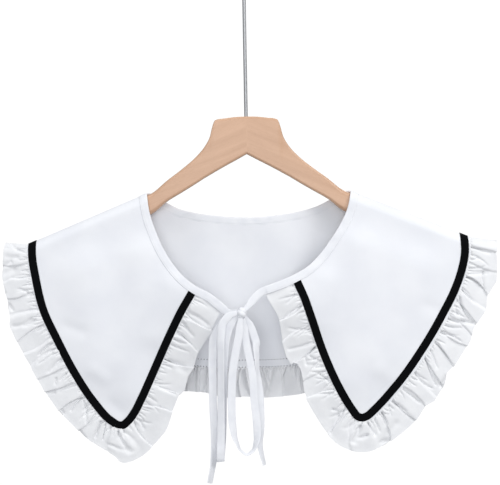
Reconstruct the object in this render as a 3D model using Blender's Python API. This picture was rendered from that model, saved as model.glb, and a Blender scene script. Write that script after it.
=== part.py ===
"""A detachable peter pan collar with a ruffled edge, hung over a wooden hanger.

Metres, +Z up, and the front faces -Y. The origin is the inner top of the hanger's hook, where a
rail holds it. Left and right are as seen from the front. Tables are in millimetres: "across" is
X, "height" is measured from the level of the neck points, and "forward" is the distance in
front of the hanger's middle plane.
"""

import math

import bpy
import numpy as np

MM = 0.001

# Driving dimensions
NECK_LEVEL = -224 * MM  # from the rail down to the level that the tables measure from
NECK_HALF = 92 * MM  # from the middle to the neck point on the shoulder
NECK_POINT = -2.6 * MM  # height of the neck points
COLLAR_HALF = 198 * MM  # from the middle to the ruffle's seam on the shoulder
SLOPE = math.radians(22.2)  # of the shoulders
CLOTH = 1.3 * MM  # thickness of a panel, two layers of poplin
FRILL = 1.2 * MM  # thickness of the ruffle with its hem
BAND = 2.2 * MM  # thickness of the neck binding
RIBBON = 1.0 * MM  # thickness of the black trim
TIE = 1.1 * MM  # thickness of the ties
SEAM = 0.3 * MM  # gap between pieces that are sewn together
NECK_GAP = 0.5 * MM  # from the binding to the panels, which curve round it in short straights
BAND_WIDTH = 7.5 * MM
TRIM_WIDTH = 6.6 * MM
FRILL_WIDTH = 28 * MM
FRILL_SHOULDER = 21 * MM  # the ruffle's width where it turns over the shoulder
FRILL_EASE = 40 * MM  # distance from an end over which the ruffle reaches its full size
BACK_LENGTH = 120 * MM  # from the unrolled shoulder down to the back seam
BACK_FULLNESS = 2.3  # exponent of the back's rounded outline
TIE_WIDTH = 7.0 * MM
PLATE = 12 * MM  # thickness of the wooden hanger
WIRE = 1.6 * MM  # radius of the hook's wire
HOOK_RADIUS = 20 * MM  # inner radius of the hook
FOLD_RADIUS = 8.6 * MM  # of the cloth's middle surface over the hanger's arms
SEAT = 0.5 * MM  # from the arm's top to the cloth on it
LEFT_NECK_FREE = 52 * MM  # how far the binding runs on past the panel, over the ruffle's end
RIGHT_NECK_FREE = 44 * MM
PANEL_ROWS = 30
PANEL_COLUMNS = 7
BEND_WEIGHT = 0.9  # how much closer a panel's rows stand where its edge bends

QUARTER = FOLD_RADIUS * math.pi / 2
UNROLLED = QUARTER - FOLD_RADIUS
WRAP_STEPS = 4
WRAP_STEP = 3.8 * MM
EASE = 16 * MM  # distance from the shoulder over which a strip turns along it

# The seam between lapel and ruffle, from the shoulder round the point to the neck
LEFT_EDGE = (  # across, height
    (-198.0, -45.8),
    (-198.3, -56.0),
    (-195.4, -76.2),
    (-188.9, -105.1),
    (-175.8, -134.1),
    (-160.3, -164.0),
    (-144.6, -188.9),
    (-128.0, -207.8),
    (-119.6, -212.7),
    (-114.0, -212.6),
    (-107.7, -208.1),
    (-100.8, -199.0),
    (-95.0, -188.0),
    (-83.2, -162.8),
    (-69.1, -132.2),
    (-57.4, -107.0),
    (-48.9, -95.2),
)
RIGHT_EDGE = (  # across, height
    (198.0, -45.8),
    (198.9, -60.0),
    (194.8, -79.2),
    (188.3, -96.3),
    (179.3, -114.2),
    (158.1, -150.0),
    (135.1, -180.6),
    (114.0, -202.6),
    (105.4, -208.7),
    (99.3, -210.1),
    (93.4, -207.8),
    (88.2, -201.3),
    (81.6, -190.8),
    (74.9, -178.2),
    (61.6, -147.0),
    (51.0, -114.5),
    (45.6, -98.8),
    (39.7, -85.4),
)
# The neck's edge, from the shoulder to the front end of the binding
LEFT_NECK = (  # across, height
    (-90.6, -2.0),
    (-87.5, -20.5),
    (-82.6, -35.8),
    (-76.1, -51.2),
    (-67.9, -64.9),
    (-57.9, -76.9),
    (-47.9, -84.9),
    (-34.5, -92.3),
    (-19.5, -104.7),
)
RIGHT_NECK = (  # across, height
    (93.2, -3.1),
    (89.7, -17.1),
    (82.6, -32.4),
    (73.7, -46.0),
    (63.2, -59.6),
    (52.6, -69.6),
    (40.4, -76.5),
    (28.4, -81.6),
    (14.4, -86.4),
)
BACK_NECK = (  # across, height
    (-90.6, -2.0),
    (-82.0, -4.8),
    (-71.5, -11.0),
    (-61.0, -16.2),
    (-49.0, -19.4),
    (-26.5, -22.8),
    (0.0, -24.6),
    (26.5, -23.0),
    (52.0, -18.8),
    (62.5, -15.6),
    (73.0, -10.6),
    (84.0, -4.8),
    (93.2, -3.1),
)
# Where the cloth stands away from a plain hang: soft ridges, and the front of the neck
FRONT_FOLDS = (  # from across, from height, to across, to height, rise, half width
    (-40.0, -96.0, 28.0, -92.0, 10.0, 42.0),
    (-150.0, -62.0, -136.0, -150.0, 4.5, 26.0),
    (-96.0, -60.0, -104.0, -176.0, 3.6, 20.0),
    (-70.0, -88.0, -84.0, -128.0, 3.0, 14.0),
    (148.0, -66.0, 128.0, -150.0, 4.2, 24.0),
    (100.0, -52.0, 88.0, -170.0, 3.8, 21.0),
    (70.0, -84.0, 62.0, -118.0, 2.6, 13.0),
)
BACK_FOLDS = (  # from across, from height, to across, to height, rise, half width
    (72.0, -30.0, 50.0, -92.0, 4.6, 15.0),
    (-70.0, -34.0, -58.0, -110.0, 3.4, 22.0),
    (-8.0, -60.0, -4.0, -150.0, 3.0, 26.0),
    (-140.0, -66.0, -118.0, -136.0, 4.0, 24.0),
    (138.0, -66.0, 116.0, -134.0, 4.2, 22.0),
)
FOLD_START = 12 * MM  # below the shoulder, where soft ridges begin to rise
FOLD_FULL = 48 * MM

# The ruffles' folds. Each row is one fold's edge: where along the seam it leaves the seam and where
# it meets the hem, a lap of 1 where the cloth before it lies over the cloth after it and -1 where
# it lies under, and its depth as a share of GATHER_DEPTH
LEFT_GATHERS = (  # at seam, at hem, lap, depth
    (10.0, 8.0, 1, 0.7),
    (21.0, 21.0, 1, 0.8),
    (34.0, 35.0, -1, 0.6),
    (48.0, 49.0, 1, 0.9),
    (65.0, 63.0, -1, 1.0),
    (78.0, 82.0, 1, 0.9),
    (92.0, 94.0, -1, 0.8),
    (104.0, 108.0, -1, 1.1),
    (121.0, 119.0, 1, 0.8),
    (138.0, 131.0, 1, 1.0),
    (153.0, 151.0, 1, 1.1),
    (169.0, 173.0, 1, 0.9),
    (180.0, 184.0, 1, 0.8),
    (190.0, 194.0, -1, 1.2),
    (200.0, 201.5, 1, 0.7),
    (212.0, 209.0, 1, 1.1),
    (229.0, 235.0, 1, 1.2),
    (249.0, 251.0, 1, 1.1),
    (274.0, 278.0, 1, 1.3),
    (299.0, 293.0, 1, 1.1),
    (320.0, 317.0, 1, 1.2),
)
RIGHT_GATHERS = (  # at seam, at hem, lap, depth
    (14.0, 18.0, 1, 1.0),
    (27.0, 31.0, 1, 0.6),
    (40.0, 49.0, 1, 1.3),
    (53.0, 61.0, -1, 0.8),
    (63.0, 74.0, 1, 1.2),
    (78.0, 85.0, 1, 0.7),
    (94.0, 95.0, 1, 0.9),
    (106.0, 116.0, 1, 1.2),
    (122.0, 134.0, 1, 1.2),
    (140.0, 145.0, -1, 0.7),
    (155.0, 156.0, 1, 0.8),
    (169.0, 170.0, 1, 1.1),
    (184.0, 194.0, 1, 1.2),
    (198.0, 201.0, -1, 0.9),
    (208.0, 207.0, 1, 0.8),
    (226.0, 215.0, 1, 1.1),
    (243.0, 249.0, 1, 1.2),
    (264.0, 263.0, -1, 0.6),
    (286.0, 280.0, 1, 1.3),
    (306.0, 300.0, 1, 0.6),
    (325.0, 319.0, 1, 1.2),
)
BACK_GATHERS = (  # spacing, lap, depth; they follow each other again and again
    (16.0, 1, 1.0),
    (11.0, 1, 0.7),
    (20.0, -1, 1.1),
    (13.0, 1, 0.8),
    (17.0, 1, 1.0),
    (10.0, -1, 0.7),
    (19.0, 1, 1.1),
    (14.0, -1, 0.9),
    (22.0, 1, 1.0),
)
GATHER_DEPTH = 3.2 * MM  # how far the cloth stands out at the hem on either side of a fold's edge
SEAM_SHARE = 0.2  # the same at the seam, as a share
DEPTH_GROWTH = 0.8  # exponent of the growth from seam to hem
LIP = 1.6 * MM  # half the distance over which the cloth passes from one side to the other
FOLD_REACH = 11 * MM  # how far beside its edge a fold dies away
FOLD_PARTS = (0.08, 0.22, 0.41, 0.59, 0.78, 0.92)  # where points lie between one fold's edge and the next
FRILL_ROWS = 3
HEM_STEP = 0.3  # how far the upper cloth's hem hangs past the plain hem, as a share of the depth
NECK_DEPTH = 0.6  # depth of the folds where the binding holds their end
LEFT_FRILL_END = (0.9 * MM, 1.6 * MM)  # how far the ruffle passes the panel's end, at seam and hem
RIGHT_FRILL_END = (0.0 * MM, 1.0 * MM)
RUN_ON = 4.0  # mm by which a ruffle's seam is drawn on past the panel's end
RIDGE_GAP = 0.8 * MM  # more room beside the trim where it turns over the shoulder

HANGER = (  # across, top, bottom
    (0.0, 66.0, 32.3),
    (9.0, 65.8, 27.4),
    (20.0, 64.9, 21.6),
    (26.5, 63.6, 18.0),
    (29.0, 61.2, 16.6),
    (30.6, 56.5, 15.7),
    (33.2, 47.5, 14.2),
    (38.5, 38.4, 11.2),
    (46.5, 29.6, 6.2),
    (58.5, 19.6, -1.0),
    (72.0, 9.6, -9.0),
)
ARM_DEPTH = (  # across, depth of the arm
    (86.0, 18.6),
    (104.0, 18.4),
    (130.0, 18.0),
    (160.0, 17.4),
    (180.0, 16.6),
    (186.0, 15.0),
    (189.5, 11.5),
)
ARM_CORNER = 5.0 * MM  # radius along the arm's edges
STEM_DEPTH = 22 * MM  # of the wire in the wood
STEM_STRAIGHT = -52 * MM  # height where the wire begins to bend into the hook
HOOK_FROM = math.radians(-50)  # where the round part begins and ends, from +X towards +Z
HOOK_TO = math.radians(196)
HOOK_SWAY = 17 * MM  # how far the wire's bend reaches at each of its ends
WIRE_CLEARANCE = 0.35 * MM

KNOT = (-6.7, -111.5, 23.6)  # across, height, forward
KNOT_HALF = (4.6, 5.6, 4.4)  # half sizes in the same order
# Each stretch of tie; turn is how far its face is turned from the front, in degrees
LEFT_LOOP = (  # across, height, forward, turn
    (-17.0, -111.5, 27.0, 0),
    (-22.6, -117.0, 27.6, 0),
    (-25.4, -128.0, 27.6, 0),
    (-26.0, -152.0, 27.0, 0),
    (-26.6, -190.0, 26.2, 0),
    (-27.4, -224.0, 25.6, 0),
    (-27.8, -236.5, 25.4, 0),
    (-27.9, -240.6, 24.6, 0),
    (-27.9, -241.8, 23.6, 0),
    (-27.8, -240.6, 22.6, 0),
    (-27.5, -236.5, 21.9, 0),
    (-26.4, -224.0, 21.9, 0),
    (-24.8, -188.0, 22.4, 0),
    (-23.2, -152.0, 23.0, 0),
    (-20.4, -130.0, 23.6, 0),
    (-16.4, -119.5, 23.9, 0),
)
RIGHT_LOOP = (  # across, height, forward, turn
    (-9.4, -128.0, 26.0, 0),
    (-12.6, -143.0, 26.0, 0),
    (-15.3, -158.0, 26.0, 0),
    (-16.9, -178.0, 26.0, 0),
    (-17.1, -200.0, 26.0, 5),
    (-15.9, -214.5, 25.8, 25),
    (-12.7, -225.5, 25.4, 48),
    (-8.6, -233.0, 24.8, 62),
    (-4.4, -235.8, 24.4, 66),
    (-0.4, -233.0, 24.0, 58),
    (3.4, -226.0, 23.6, 40),
    (4.9, -215.0, 23.2, 18),
    (3.9, -201.0, 23.0, 5),
    (2.9, -187.0, 22.8, 0),
    (2.3, -171.0, 22.8, 0),
    (0.4, -156.0, 22.8, 0),
    (-2.2, -143.0, 22.8, 0),
    (-4.2, -130.0, 22.8, 0),
)
LEFT_TAIL = (  # across, height, forward, turn
    (-16.8, -119.0, 21.8, 0),
    (-25.0, -121.5, 21.8, 0),
    (-31.2, -129.5, 21.6, 0),
    (-33.6, -148.0, 20.8, 0),
    (-33.8, -171.0, 20.2, 0),
    (-33.8, -190.0, 19.8, 0),
    (-32.9, -215.0, 19.6, 0),
    (-33.4, -234.0, 19.6, 0),
    (-35.2, -247.5, 19.6, 0),
    (-38.1, -261.3, 19.8, 0),
)
RIGHT_TAIL = (  # across, height, forward, turn
    (0.6, -122.0, 19.8, 0),
    (4.2, -131.0, 19.4, 0),
    (5.2, -144.0, 19.0, 0),
    (6.0, -158.0, 18.8, 0),
    (7.5, -172.0, 18.8, 0),
    (8.8, -190.0, 18.8, 0),
    (8.4, -211.0, 18.8, 10),
    (7.3, -225.0, 18.6, 16),
    (8.9, -236.0, 18.4, 6),
    (11.2, -246.0, 18.2, 0),
)
# Where each stretch leaves the knot, as a direction from its middle
KNOT_EXITS = {  # across, height, forward
    "bow_loop_left": ((-1.0, 0.1, 0.6), (-0.8, -0.9, 0.05)),
    "bow_loop_right": ((-0.25, -1.0, 0.5), (0.25, -1.0, -0.05)),
    "tie_tail_left": ((-0.75, -0.75, -0.55),),
    "tie_tail_right": ((0.6, -0.8, -0.75),),
    "tie_neck_left": ((-1.0, 0.35, -0.55),),
    "tie_neck_right": ((0.75, 0.75, -0.4),),
}
PINCH = 0.62  # width of a tie at the knot, as a share of its full width
PINCH_LENGTH = 10 * MM
KNOT_CLEARANCE = 0.5 * MM
TIE_STEP = 4.5 * MM


def clear_scene():
    for item in list(bpy.data.objects):
        bpy.data.objects.remove(item, do_unlink=True)


def material(name, colour, roughness, metallic=0.0):
    made = bpy.data.materials.new(name)
    made.use_nodes = True
    shader = made.node_tree.nodes["Principled BSDF"]
    shader.inputs["Base Color"].default_value = (*colour, 1.0)
    shader.inputs["Roughness"].default_value = roughness
    shader.inputs["Metallic"].default_value = metallic
    return made


def to_metres(rows):
    """Table rows of across and height, as places in the part's own frame."""
    return np.asarray(rows, float) * MM + (0.0, NECK_LEVEL)


def smooth(rows, per_span=16):
    """A curve through the rows: a cubic between each two, with slopes weighed by their spacing."""
    rows = np.asarray(rows, float)
    span = np.linalg.norm(np.diff(rows, axis=0), axis=1)
    slope = np.diff(rows, axis=0) / span[:, None]
    inner = (slope[:-1] * span[1:, None] + slope[1:] * span[:-1, None]) / (
        span[1:] + span[:-1]
    )[:, None]
    tangent = np.vstack([slope[:1], inner, slope[-1:]])
    t = np.linspace(0, 1, per_span, endpoint=False)[None, :, None]
    start, end = rows[:-1, None], rows[1:, None]
    length = span[:, None, None]
    curve = (
        (2 * t**3 - 3 * t**2 + 1) * start
        + (t**3 - 2 * t**2 + t) * length * tangent[:-1, None]
        + (3 * t**2 - 2 * t**3) * end
        + (t**3 - t**2) * length * tangent[1:, None]
    )
    return np.vstack([curve.reshape(-1, rows.shape[1]), rows[-1:]])


def arc_lengths(curve):
    steps = np.linalg.norm(np.diff(curve, axis=0), axis=1)
    return np.concatenate([[0.0], np.cumsum(steps)])


def at_lengths(curve, lengths):
    """Points of the curve at these distances along it."""
    along = arc_lengths(curve)
    return np.stack([np.interp(lengths, along, column) for column in curve.T], axis=-1)


def ease(value):
    value = np.clip(value, 0.0, 1.0)
    return value * value * (3 - 2 * value)


def ridge_height(across):
    """Height of the cloth's fold over the arm. Past the seam the ruffle's top runs level."""
    out = np.minimum(np.abs(across), COLLAR_HALF) - NECK_HALF
    return NECK_LEVEL + NECK_POINT - math.tan(SLOPE) * out


def unrolled_ridge(across):
    """Height of the fold when the cloth that turns over it is laid out flat with the panel."""
    return ridge_height(across) + UNROLLED / math.cos(SLOPE)


def drape(across, height, face):
    """How far the hanging cloth stands out: a bell round each row's line, none at the shoulder."""
    total = np.zeros_like(across)
    for x0, z0, x1, z1, rise, half in FRONT_FOLDS if face < 0 else BACK_FOLDS:
        start = to_metres((x0, z0))
        run = to_metres((x1, z1)) - start
        dx, dz = across - start[0], height - start[1]
        share = np.clip((dx * run[0] + dz * run[1]) / (run @ run), 0, 1)
        away = np.hypot(dx - share * run[0], dz - share * run[1])
        total += rise * MM * np.exp(-((away / (half * MM)) ** 2))
    below = ridge_height(across) - height
    return total * ease((below - FOLD_START) / (FOLD_FULL - FOLD_START))


def on_hanger(flat, face):
    """Bends flat cloth over the arm: a quarter circle from the ridge, then straight down. Face is
    -1 for the front and +1 for the back."""
    across, height = flat[..., 0], flat[..., 1]
    ridge = ridge_height(across)
    below = (ridge - height) * math.cos(SLOPE) + UNROLLED
    angle = np.clip(below / FOLD_RADIUS, 0, math.pi / 2)
    drop = np.where(below < QUARTER, FOLD_RADIUS * (1 - np.cos(angle)), below - UNROLLED)
    depth = FOLD_RADIUS * np.sin(angle) + drape(across, height, face)
    return np.stack([across, face * depth, ridge - drop / math.cos(SLOPE)], axis=-1)


def grid_normals(grid):
    """Unit normals of a grid of points, from the steps to its neighbours."""
    along = np.gradient(grid, axis=0)
    across = np.gradient(grid, axis=1)
    normal = np.cross(along, across)
    return normal / np.linalg.norm(normal, axis=-1, keepdims=True)


def cloth_normals(grid, face, ridge_rows):
    """Normals on the cloth's outer face. On the ridge they stand square to it, not to the first
    flat beside it, so that front and back stay apart."""
    normals = grid_normals(grid)
    if normals[..., 1].sum() * face < 0:
        normals = -normals
    for row in ridge_rows:
        normals[row, :, 1] = 0.0
        normals[row] /= np.linalg.norm(normals[row], axis=-1, keepdims=True)
    return normals


def wall(name, grid, normals, thickness, finish, lift=0.0):
    """A closed wall on a grid of points: two faces half its thickness either way, and an edge
    all round. Lift moves the wall out along the normals."""
    rows, columns = grid.shape[:2]
    outer = grid + normals * (lift + thickness / 2)
    inner = grid + normals * (lift - thickness / 2)
    points = np.concatenate([outer.reshape(-1, 3), inner.reshape(-1, 3)])
    index = np.arange(rows * columns).reshape(rows, columns)
    corners = (index[:-1, :-1], index[1:, :-1], index[1:, 1:], index[:-1, 1:])
    halves = [np.stack([corners[0], corners[i], corners[i + 1]], -1).reshape(-1, 3) for i in (1, 2)]
    front = np.concatenate(halves)
    back = front[:, ::-1] + rows * columns
    border = np.concatenate([index[:-1, 0], index[-1, :-1], index[:0:-1, -1], index[0, :0:-1]])
    following = np.roll(border, -1)
    edge = np.stack([following, border, border + rows * columns, following + rows * columns], -1)
    return solid(name, points, [*front, *back, *edge], finish)


def tube(name, sections, finish):
    """A closed solid through rings of points, with a flat cap at each end."""
    count, sides = sections.shape[:2]
    index = np.arange(count * sides).reshape(count, sides)
    following = np.roll(index, -1, axis=1)
    corners = (index[:-1], following[:-1], following[1:], index[1:])
    faces = [list(face) for face in np.stack(corners, -1).reshape(-1, 4)]
    faces += [list(index[0, ::-1]), list(index[-1])]
    return solid(name, sections.reshape(-1, 3), faces, finish)


def signed_volume(points, faces):
    total = 0.0
    for face in faces:
        first = points[face[0]]
        for second, third in zip(face[1:-1], face[2:]):
            total += first @ np.cross(points[second], points[third])
    return total


def solid(name, points, faces, finish):
    """A mesh object whose faces all point out."""
    faces = [list(map(int, face)) for face in faces]
    if signed_volume(points - points.mean(axis=0), faces) < 0:
        faces = [face[::-1] for face in faces]
    mesh = bpy.data.meshes.new(name)
    mesh.from_pydata(points.tolist(), [], faces)
    mesh.materials.append(finish)
    mesh.shade_smooth()
    mesh.set_sharp_from_angle(angle=math.radians(40))
    made = bpy.data.objects.new(name, mesh)
    bpy.context.scene.collection.objects.link(made)
    return made


class Edge:
    """A flat curve that begins on the shoulder's ridge, and the direction across it."""

    def __init__(self, rows, face, hand, start_across, end_across=None):
        points = to_metres(rows)
        points[0, 1] = unrolled_ridge(points[0, 0])
        if end_across is not None:
            points[-1, 1] = unrolled_ridge(points[-1, 0])
        self.curve = smooth(points)
        self.face = face
        self.hand = hand
        self.ends = (start_across, end_across)
        self.length = arc_lengths(self.curve)[-1]

    def across(self, lengths):
        """Unit vectors across the curve, eased to the ridge's own direction near it."""
        step = 0.5 * MM
        run = at_lengths(self.curve, lengths + step) - at_lengths(self.curve, lengths - step)
        run /= np.linalg.norm(run, axis=1)[:, None]
        square = self.hand * np.stack([-run[:, 1], run[:, 0]], axis=1)
        for end, away in zip(self.ends, (lengths, self.length - lengths)):
            if end is not None:
                share = 1 - ease(away / EASE)[:, None]
                square = square * (1 - share) + np.asarray(end) * share
        return square / np.linalg.norm(square, axis=1)[:, None]

    def beside(self, lengths, distance):
        """Flat points at this distance across from the curve. Ends on the ridge stay on it."""
        points = at_lengths(self.curve, lengths) + self.across(lengths) * np.reshape(distance, (-1, 1))
        for end, away in zip(self.ends, (lengths, self.length - lengths)):
            if end is not None:
                on_ridge = away < 1e-6
                points[on_ridge, 1] = unrolled_ridge(points[on_ridge, 0])
        return points


def bend_lengths(curve, count, start, end):
    """Distances along a curve, closer together where it bends."""
    along = arc_lengths(curve)
    run = np.diff(curve, axis=0)
    heading = np.unwrap(np.arctan2(run[:, 1], run[:, 0]))
    turned = np.concatenate([[0.0], np.cumsum(np.abs(np.diff(heading))), [0.0]])
    turned[-1] = turned[-2]
    weight = along / along[-1] + BEND_WEIGHT * turned / turned[-1]
    low, high = np.interp([start, end], along, weight)
    return np.interp(np.linspace(low, high, count), weight, along)


def row_lengths(curve, count, both_ends, last=None):
    """Distances of a panel's rows: close steps over the shoulder's fold, then by bend."""
    wrap = np.arange(WRAP_STEPS) * WRAP_STEP
    length = arc_lengths(curve)[-1] if last is None else last
    start = WRAP_STEPS * WRAP_STEP
    end = length - start if both_ends else length
    middle = bend_lengths(curve, count, start, end)
    closing = [length - wrap[::-1]] if both_ends else []
    return np.concatenate([wrap, middle, *closing])


def run_on(rows, extra):
    """A table whose last row is followed by one more, this far on in the same direction."""
    run = np.subtract(rows[-1], rows[-2])
    return [*rows, tuple(rows[-1] + run / np.hypot(*run) * extra)]


def along_ridge(side, towards_neck):
    """Unit direction along a shoulder in the front view. Side is -1 for the left."""
    out = -1 if towards_neck else 1
    return (side * out * math.cos(SLOPE), -out * math.sin(SLOPE))


def panel(name, edge, neck, both_ends, neck_end, finish):
    """A panel's wall, and the grid of its two outermost columns, on which the trim lies."""
    edge_rows = row_lengths(edge.curve, PANEL_ROWS, both_ends)
    inner = row_lengths(neck.curve, PANEL_ROWS, both_ends, neck_end)
    last = -1 - WRAP_STEPS if both_ends else -1
    middle = np.linspace(inner[WRAP_STEPS], inner[last], PANEL_ROWS)
    inner[WRAP_STEPS : WRAP_STEPS + PANEL_ROWS] = middle
    outer_line = edge.beside(edge_rows, -SEAM / 2)
    trim_line = edge.beside(edge_rows, -SEAM / 2 - TRIM_WIDTH)
    neck_line = neck.beside(inner, BAND_WIDTH + NECK_GAP)
    for line in (outer_line, trim_line, neck_line):
        line[0, 1] = unrolled_ridge(line[0, 0]) - SEAM / 2
        if both_ends:
            line[-1, 1] = unrolled_ridge(line[-1, 0]) - SEAM / 2
    share = np.linspace(0, 1, PANEL_COLUMNS)[None, :, None]
    field = trim_line[:, None] * (1 - share) + neck_line[:, None] * share
    flat = np.concatenate([outer_line[:, None], field], axis=1)
    grid = on_hanger(flat, edge.face)
    normals = cloth_normals(grid, edge.face, (0, -1) if both_ends else (0,))
    wall(name, grid, normals, CLOTH, finish)
    return grid[:, :2], normals[:, :2]


def back_gathers(length):
    """The back's rows of folds: its table's spacings in turn, stretched to fill the seam."""
    pattern = np.array(BACK_GATHERS)
    count = int(round(length / MM / pattern[:, 0].mean())) - 1
    rows = pattern[np.arange(count) % len(pattern)]
    place = np.cumsum(rows[:, 0])
    place *= length / MM / (place[-1] + pattern[count % len(pattern), 0])
    return np.column_stack([place, place, rows[:, 1:]])


def folded(table, ends, rows):
    """Distances along the seam of a ruffle's points, and how far each stands out. Beside each
    fold's edge the cloth stands out by its depth on one side and in by it on the other."""
    seam_at, hem_at, lap, depth = np.array(table, float).T
    edges = (seam_at[:, None] * (1 - rows) + hem_at[:, None] * rows) * MM
    last = ends[0] * (1 - rows) + ends[1] * rows
    bounds = np.vstack([np.zeros_like(rows), edges, last])
    part = np.array(FOLD_PARTS)[None, :, None]
    between = bounds[:-1, None] * (1 - part) + bounds[1:, None] * part
    places = np.vstack([bounds[:1], between.reshape(-1, len(rows)), bounds[-1:]])
    past = places[:, None] - edges[None]
    beside = np.tanh(past / LIP) * np.exp(-np.abs(past) / FOLD_REACH)
    return places, -(beside * (lap * depth)[None, :, None]).sum(axis=1)


def ruffle(name, edge, table, both_ends, ends, finish):
    """A gathered strip: folds on the panel's own surface carried outward, shallow at the seam and
    deep at the hem."""
    rows = np.linspace(0, 1, FRILL_ROWS + 1)
    places, stand = folded(table, ends, rows)
    near = np.minimum(places, ends[1] - places) if both_ends else places
    stand = stand * ease(near / EASE)
    if not both_ends:
        stand *= NECK_DEPTH + (1 - NECK_DEPTH) * ease((ends[1] - places) / FRILL_EASE)
    width = FRILL_SHOULDER + (FRILL_WIDTH - FRILL_SHOULDER) * ease(near / FRILL_EASE)
    start = SEAM / 2 + RIDGE_GAP * (1 - ease(near / EASE))
    plain = start + width * rows
    distance = plain + HEM_STEP * GATHER_DEPTH * stand * rows**2
    ridge_rows = (0, -1) if both_ends else (0,)
    smooth_side, folded_side = (
        np.stack([edge.beside(places[:, i], away[:, i]) for i in range(len(rows))], axis=1)
        for away in (plain, distance)
    )
    for flat in (smooth_side, folded_side):
        for row in ridge_rows:
            flat[row, :, 1] = unrolled_ridge(flat[row, :, 0]) - SEAM / 2
    normals = cloth_normals(on_hanger(smooth_side, edge.face), edge.face, ridge_rows)
    rise = SEAM_SHARE + (1 - SEAM_SHARE) * rows**DEPTH_GROWTH
    out = GATHER_DEPTH * stand * rise
    grid = on_hanger(folded_side, edge.face) + normals * out[..., None]
    wall(name, grid, cloth_normals(grid, edge.face, ridge_rows), FRILL, finish)


def binding(left, back, right, finish):
    """The band round the neck: up the left front, round the back and down the right front."""
    strips = []
    for edge, both_ends, count in ((left, False, 15), (back, True, 17), (right, False, 15)):
        lengths = row_lengths(edge.curve, count, both_ends)
        edges = [on_hanger(edge.beside(lengths, away), edge.face) for away in (0.0, BAND_WIDTH)]
        strips.append(np.stack(edges, axis=1))
    grid = np.concatenate([strips[0][::-1], strips[1][1:-1], strips[2]])
    normals = grid_normals(grid)
    if normals[0, 0, 1] > 0:
        normals = -normals
    wall("neck_binding", grid, normals, BAND, finish, (BAND - CLOTH) / 2)
    return grid[:2].mean(axis=1)[::-1], grid[-2:].mean(axis=1)


def hanger(finish, wire_finish):
    """The wooden hanger: rounded sections from tip to tip, with a hole for the hook's wire."""
    arm = [
        (x, (ridge_height(x * MM) - NECK_LEVEL) / MM - top_gap(), depth)
        for x, depth in ARM_DEPTH
    ]
    ends = [(x, top - (ARM_DEPTH[0][1] - depth) / 2, depth) for x, top, depth in arm]
    half = np.array(list(HANGER) + [(x, top, top - depth) for x, top, depth in ends])
    rows = np.concatenate([half[:0:-1] * (-1, 1, 1), half])
    rings = []
    for across, top, bottom in rows * MM:
        rings.append(section(across, top + NECK_LEVEL, bottom + NECK_LEVEL))
    wood = tube("hanger_wood", np.array(rings), finish)
    bpy.ops.mesh.primitive_cylinder_add(
        vertices=16,
        radius=WIRE + WIRE_CLEARANCE,
        depth=2 * STEM_DEPTH,
        location=(0, 0, HANGER[0][1] * MM + NECK_LEVEL),
    )
    cutter = bpy.context.active_object
    cutter.name = "wire_hole_cutter"
    cutter.hide_render = True
    cutter.display_type = "WIRE"
    hole = wood.modifiers.new("wire_hole", "BOOLEAN")
    hole.object = cutter
    hook(wire_finish)


def top_gap():
    """From the cloth's middle surface down to the arm's top, straight down, in millimetres."""
    return (CLOTH / 2 + SEAT) / math.cos(SLOPE) / MM


def section(across, top, bottom):
    """One ring of the hanger: an upright rectangle with round corners, three points to each."""
    corner = min(ARM_CORNER, (top - bottom) / 2.2)
    ring = []
    for side, end, start in ((1, 1, 0), (-1, 1, 90), (-1, -1, 180), (1, -1, 270)):
        level = top - corner if end > 0 else bottom + corner
        for turn in (0, 45, 90):
            angle = math.radians(start + turn)
            reach = side * (PLATE / 2 - corner) + corner * math.cos(angle)
            ring.append((across, reach, level + corner * math.sin(angle)))
    return ring


def hook(finish):
    """The wire: straight up from the wood, out to the right, and round over the rail."""
    middle = HOOK_RADIUS + WIRE
    low = HANGER[0][1] * MM + NECK_LEVEL - STEM_DEPTH + SEAM
    centre = np.array([0.0, -HOOK_RADIUS])
    joins = centre + middle * np.array([math.cos(HOOK_FROM), math.sin(HOOK_FROM)])
    stem = np.linspace((0.0, low), (0.0, STEM_STRAIGHT), 6)
    t = np.linspace(0, 1, 9)[1:, None]
    leave = HOOK_SWAY * np.array([0.0, 1.0])
    arrive = HOOK_SWAY * np.array([-math.sin(HOOK_FROM), math.cos(HOOK_FROM)])
    sway = (
        (2 * t**3 - 3 * t**2 + 1) * stem[-1]
        + (t**3 - 2 * t**2 + t) * leave
        + (3 * t**2 - 2 * t**3) * joins
        + (t**3 - t**2) * arrive
    )
    turn = np.linspace(HOOK_FROM, HOOK_TO, 27)[1:]
    round_part = centre + middle * np.stack([np.cos(turn), np.sin(turn)], axis=1)
    path = np.concatenate([stem, sway, round_part])
    curve = bpy.data.curves.new("hanger_hook", "CURVE")
    curve.dimensions = "3D"
    curve.bevel_depth = WIRE
    curve.bevel_resolution = 2
    curve.use_fill_caps = True
    line = curve.splines.new("POLY")
    line.points.add(len(path) - 1)
    for point, (across, height) in zip(line.points, path):
        point.co = (across, 0.0, height, 1.0)
    curve.materials.append(finish)
    made = bpy.data.objects.new("hanger_hook", curve)
    bpy.context.scene.collection.objects.link(made)


def in_front(across, height, forward):
    """A place given by table numbers, in the part's own frame."""
    return np.array([across * MM, -forward * MM, height * MM + NECK_LEVEL])


def knot_point(direction, clear):
    """The knot's surface in a direction from its middle, moved out by the clearance."""
    across, height, forward = direction
    ray = np.array([across, -forward, height], float)
    half = np.array([KNOT_HALF[0], KNOT_HALF[2], KNOT_HALF[1]]) * MM
    reach = 1 / np.linalg.norm(ray / half)
    return in_front(*KNOT) + ray * reach + ray / np.linalg.norm(ray) * clear


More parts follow.
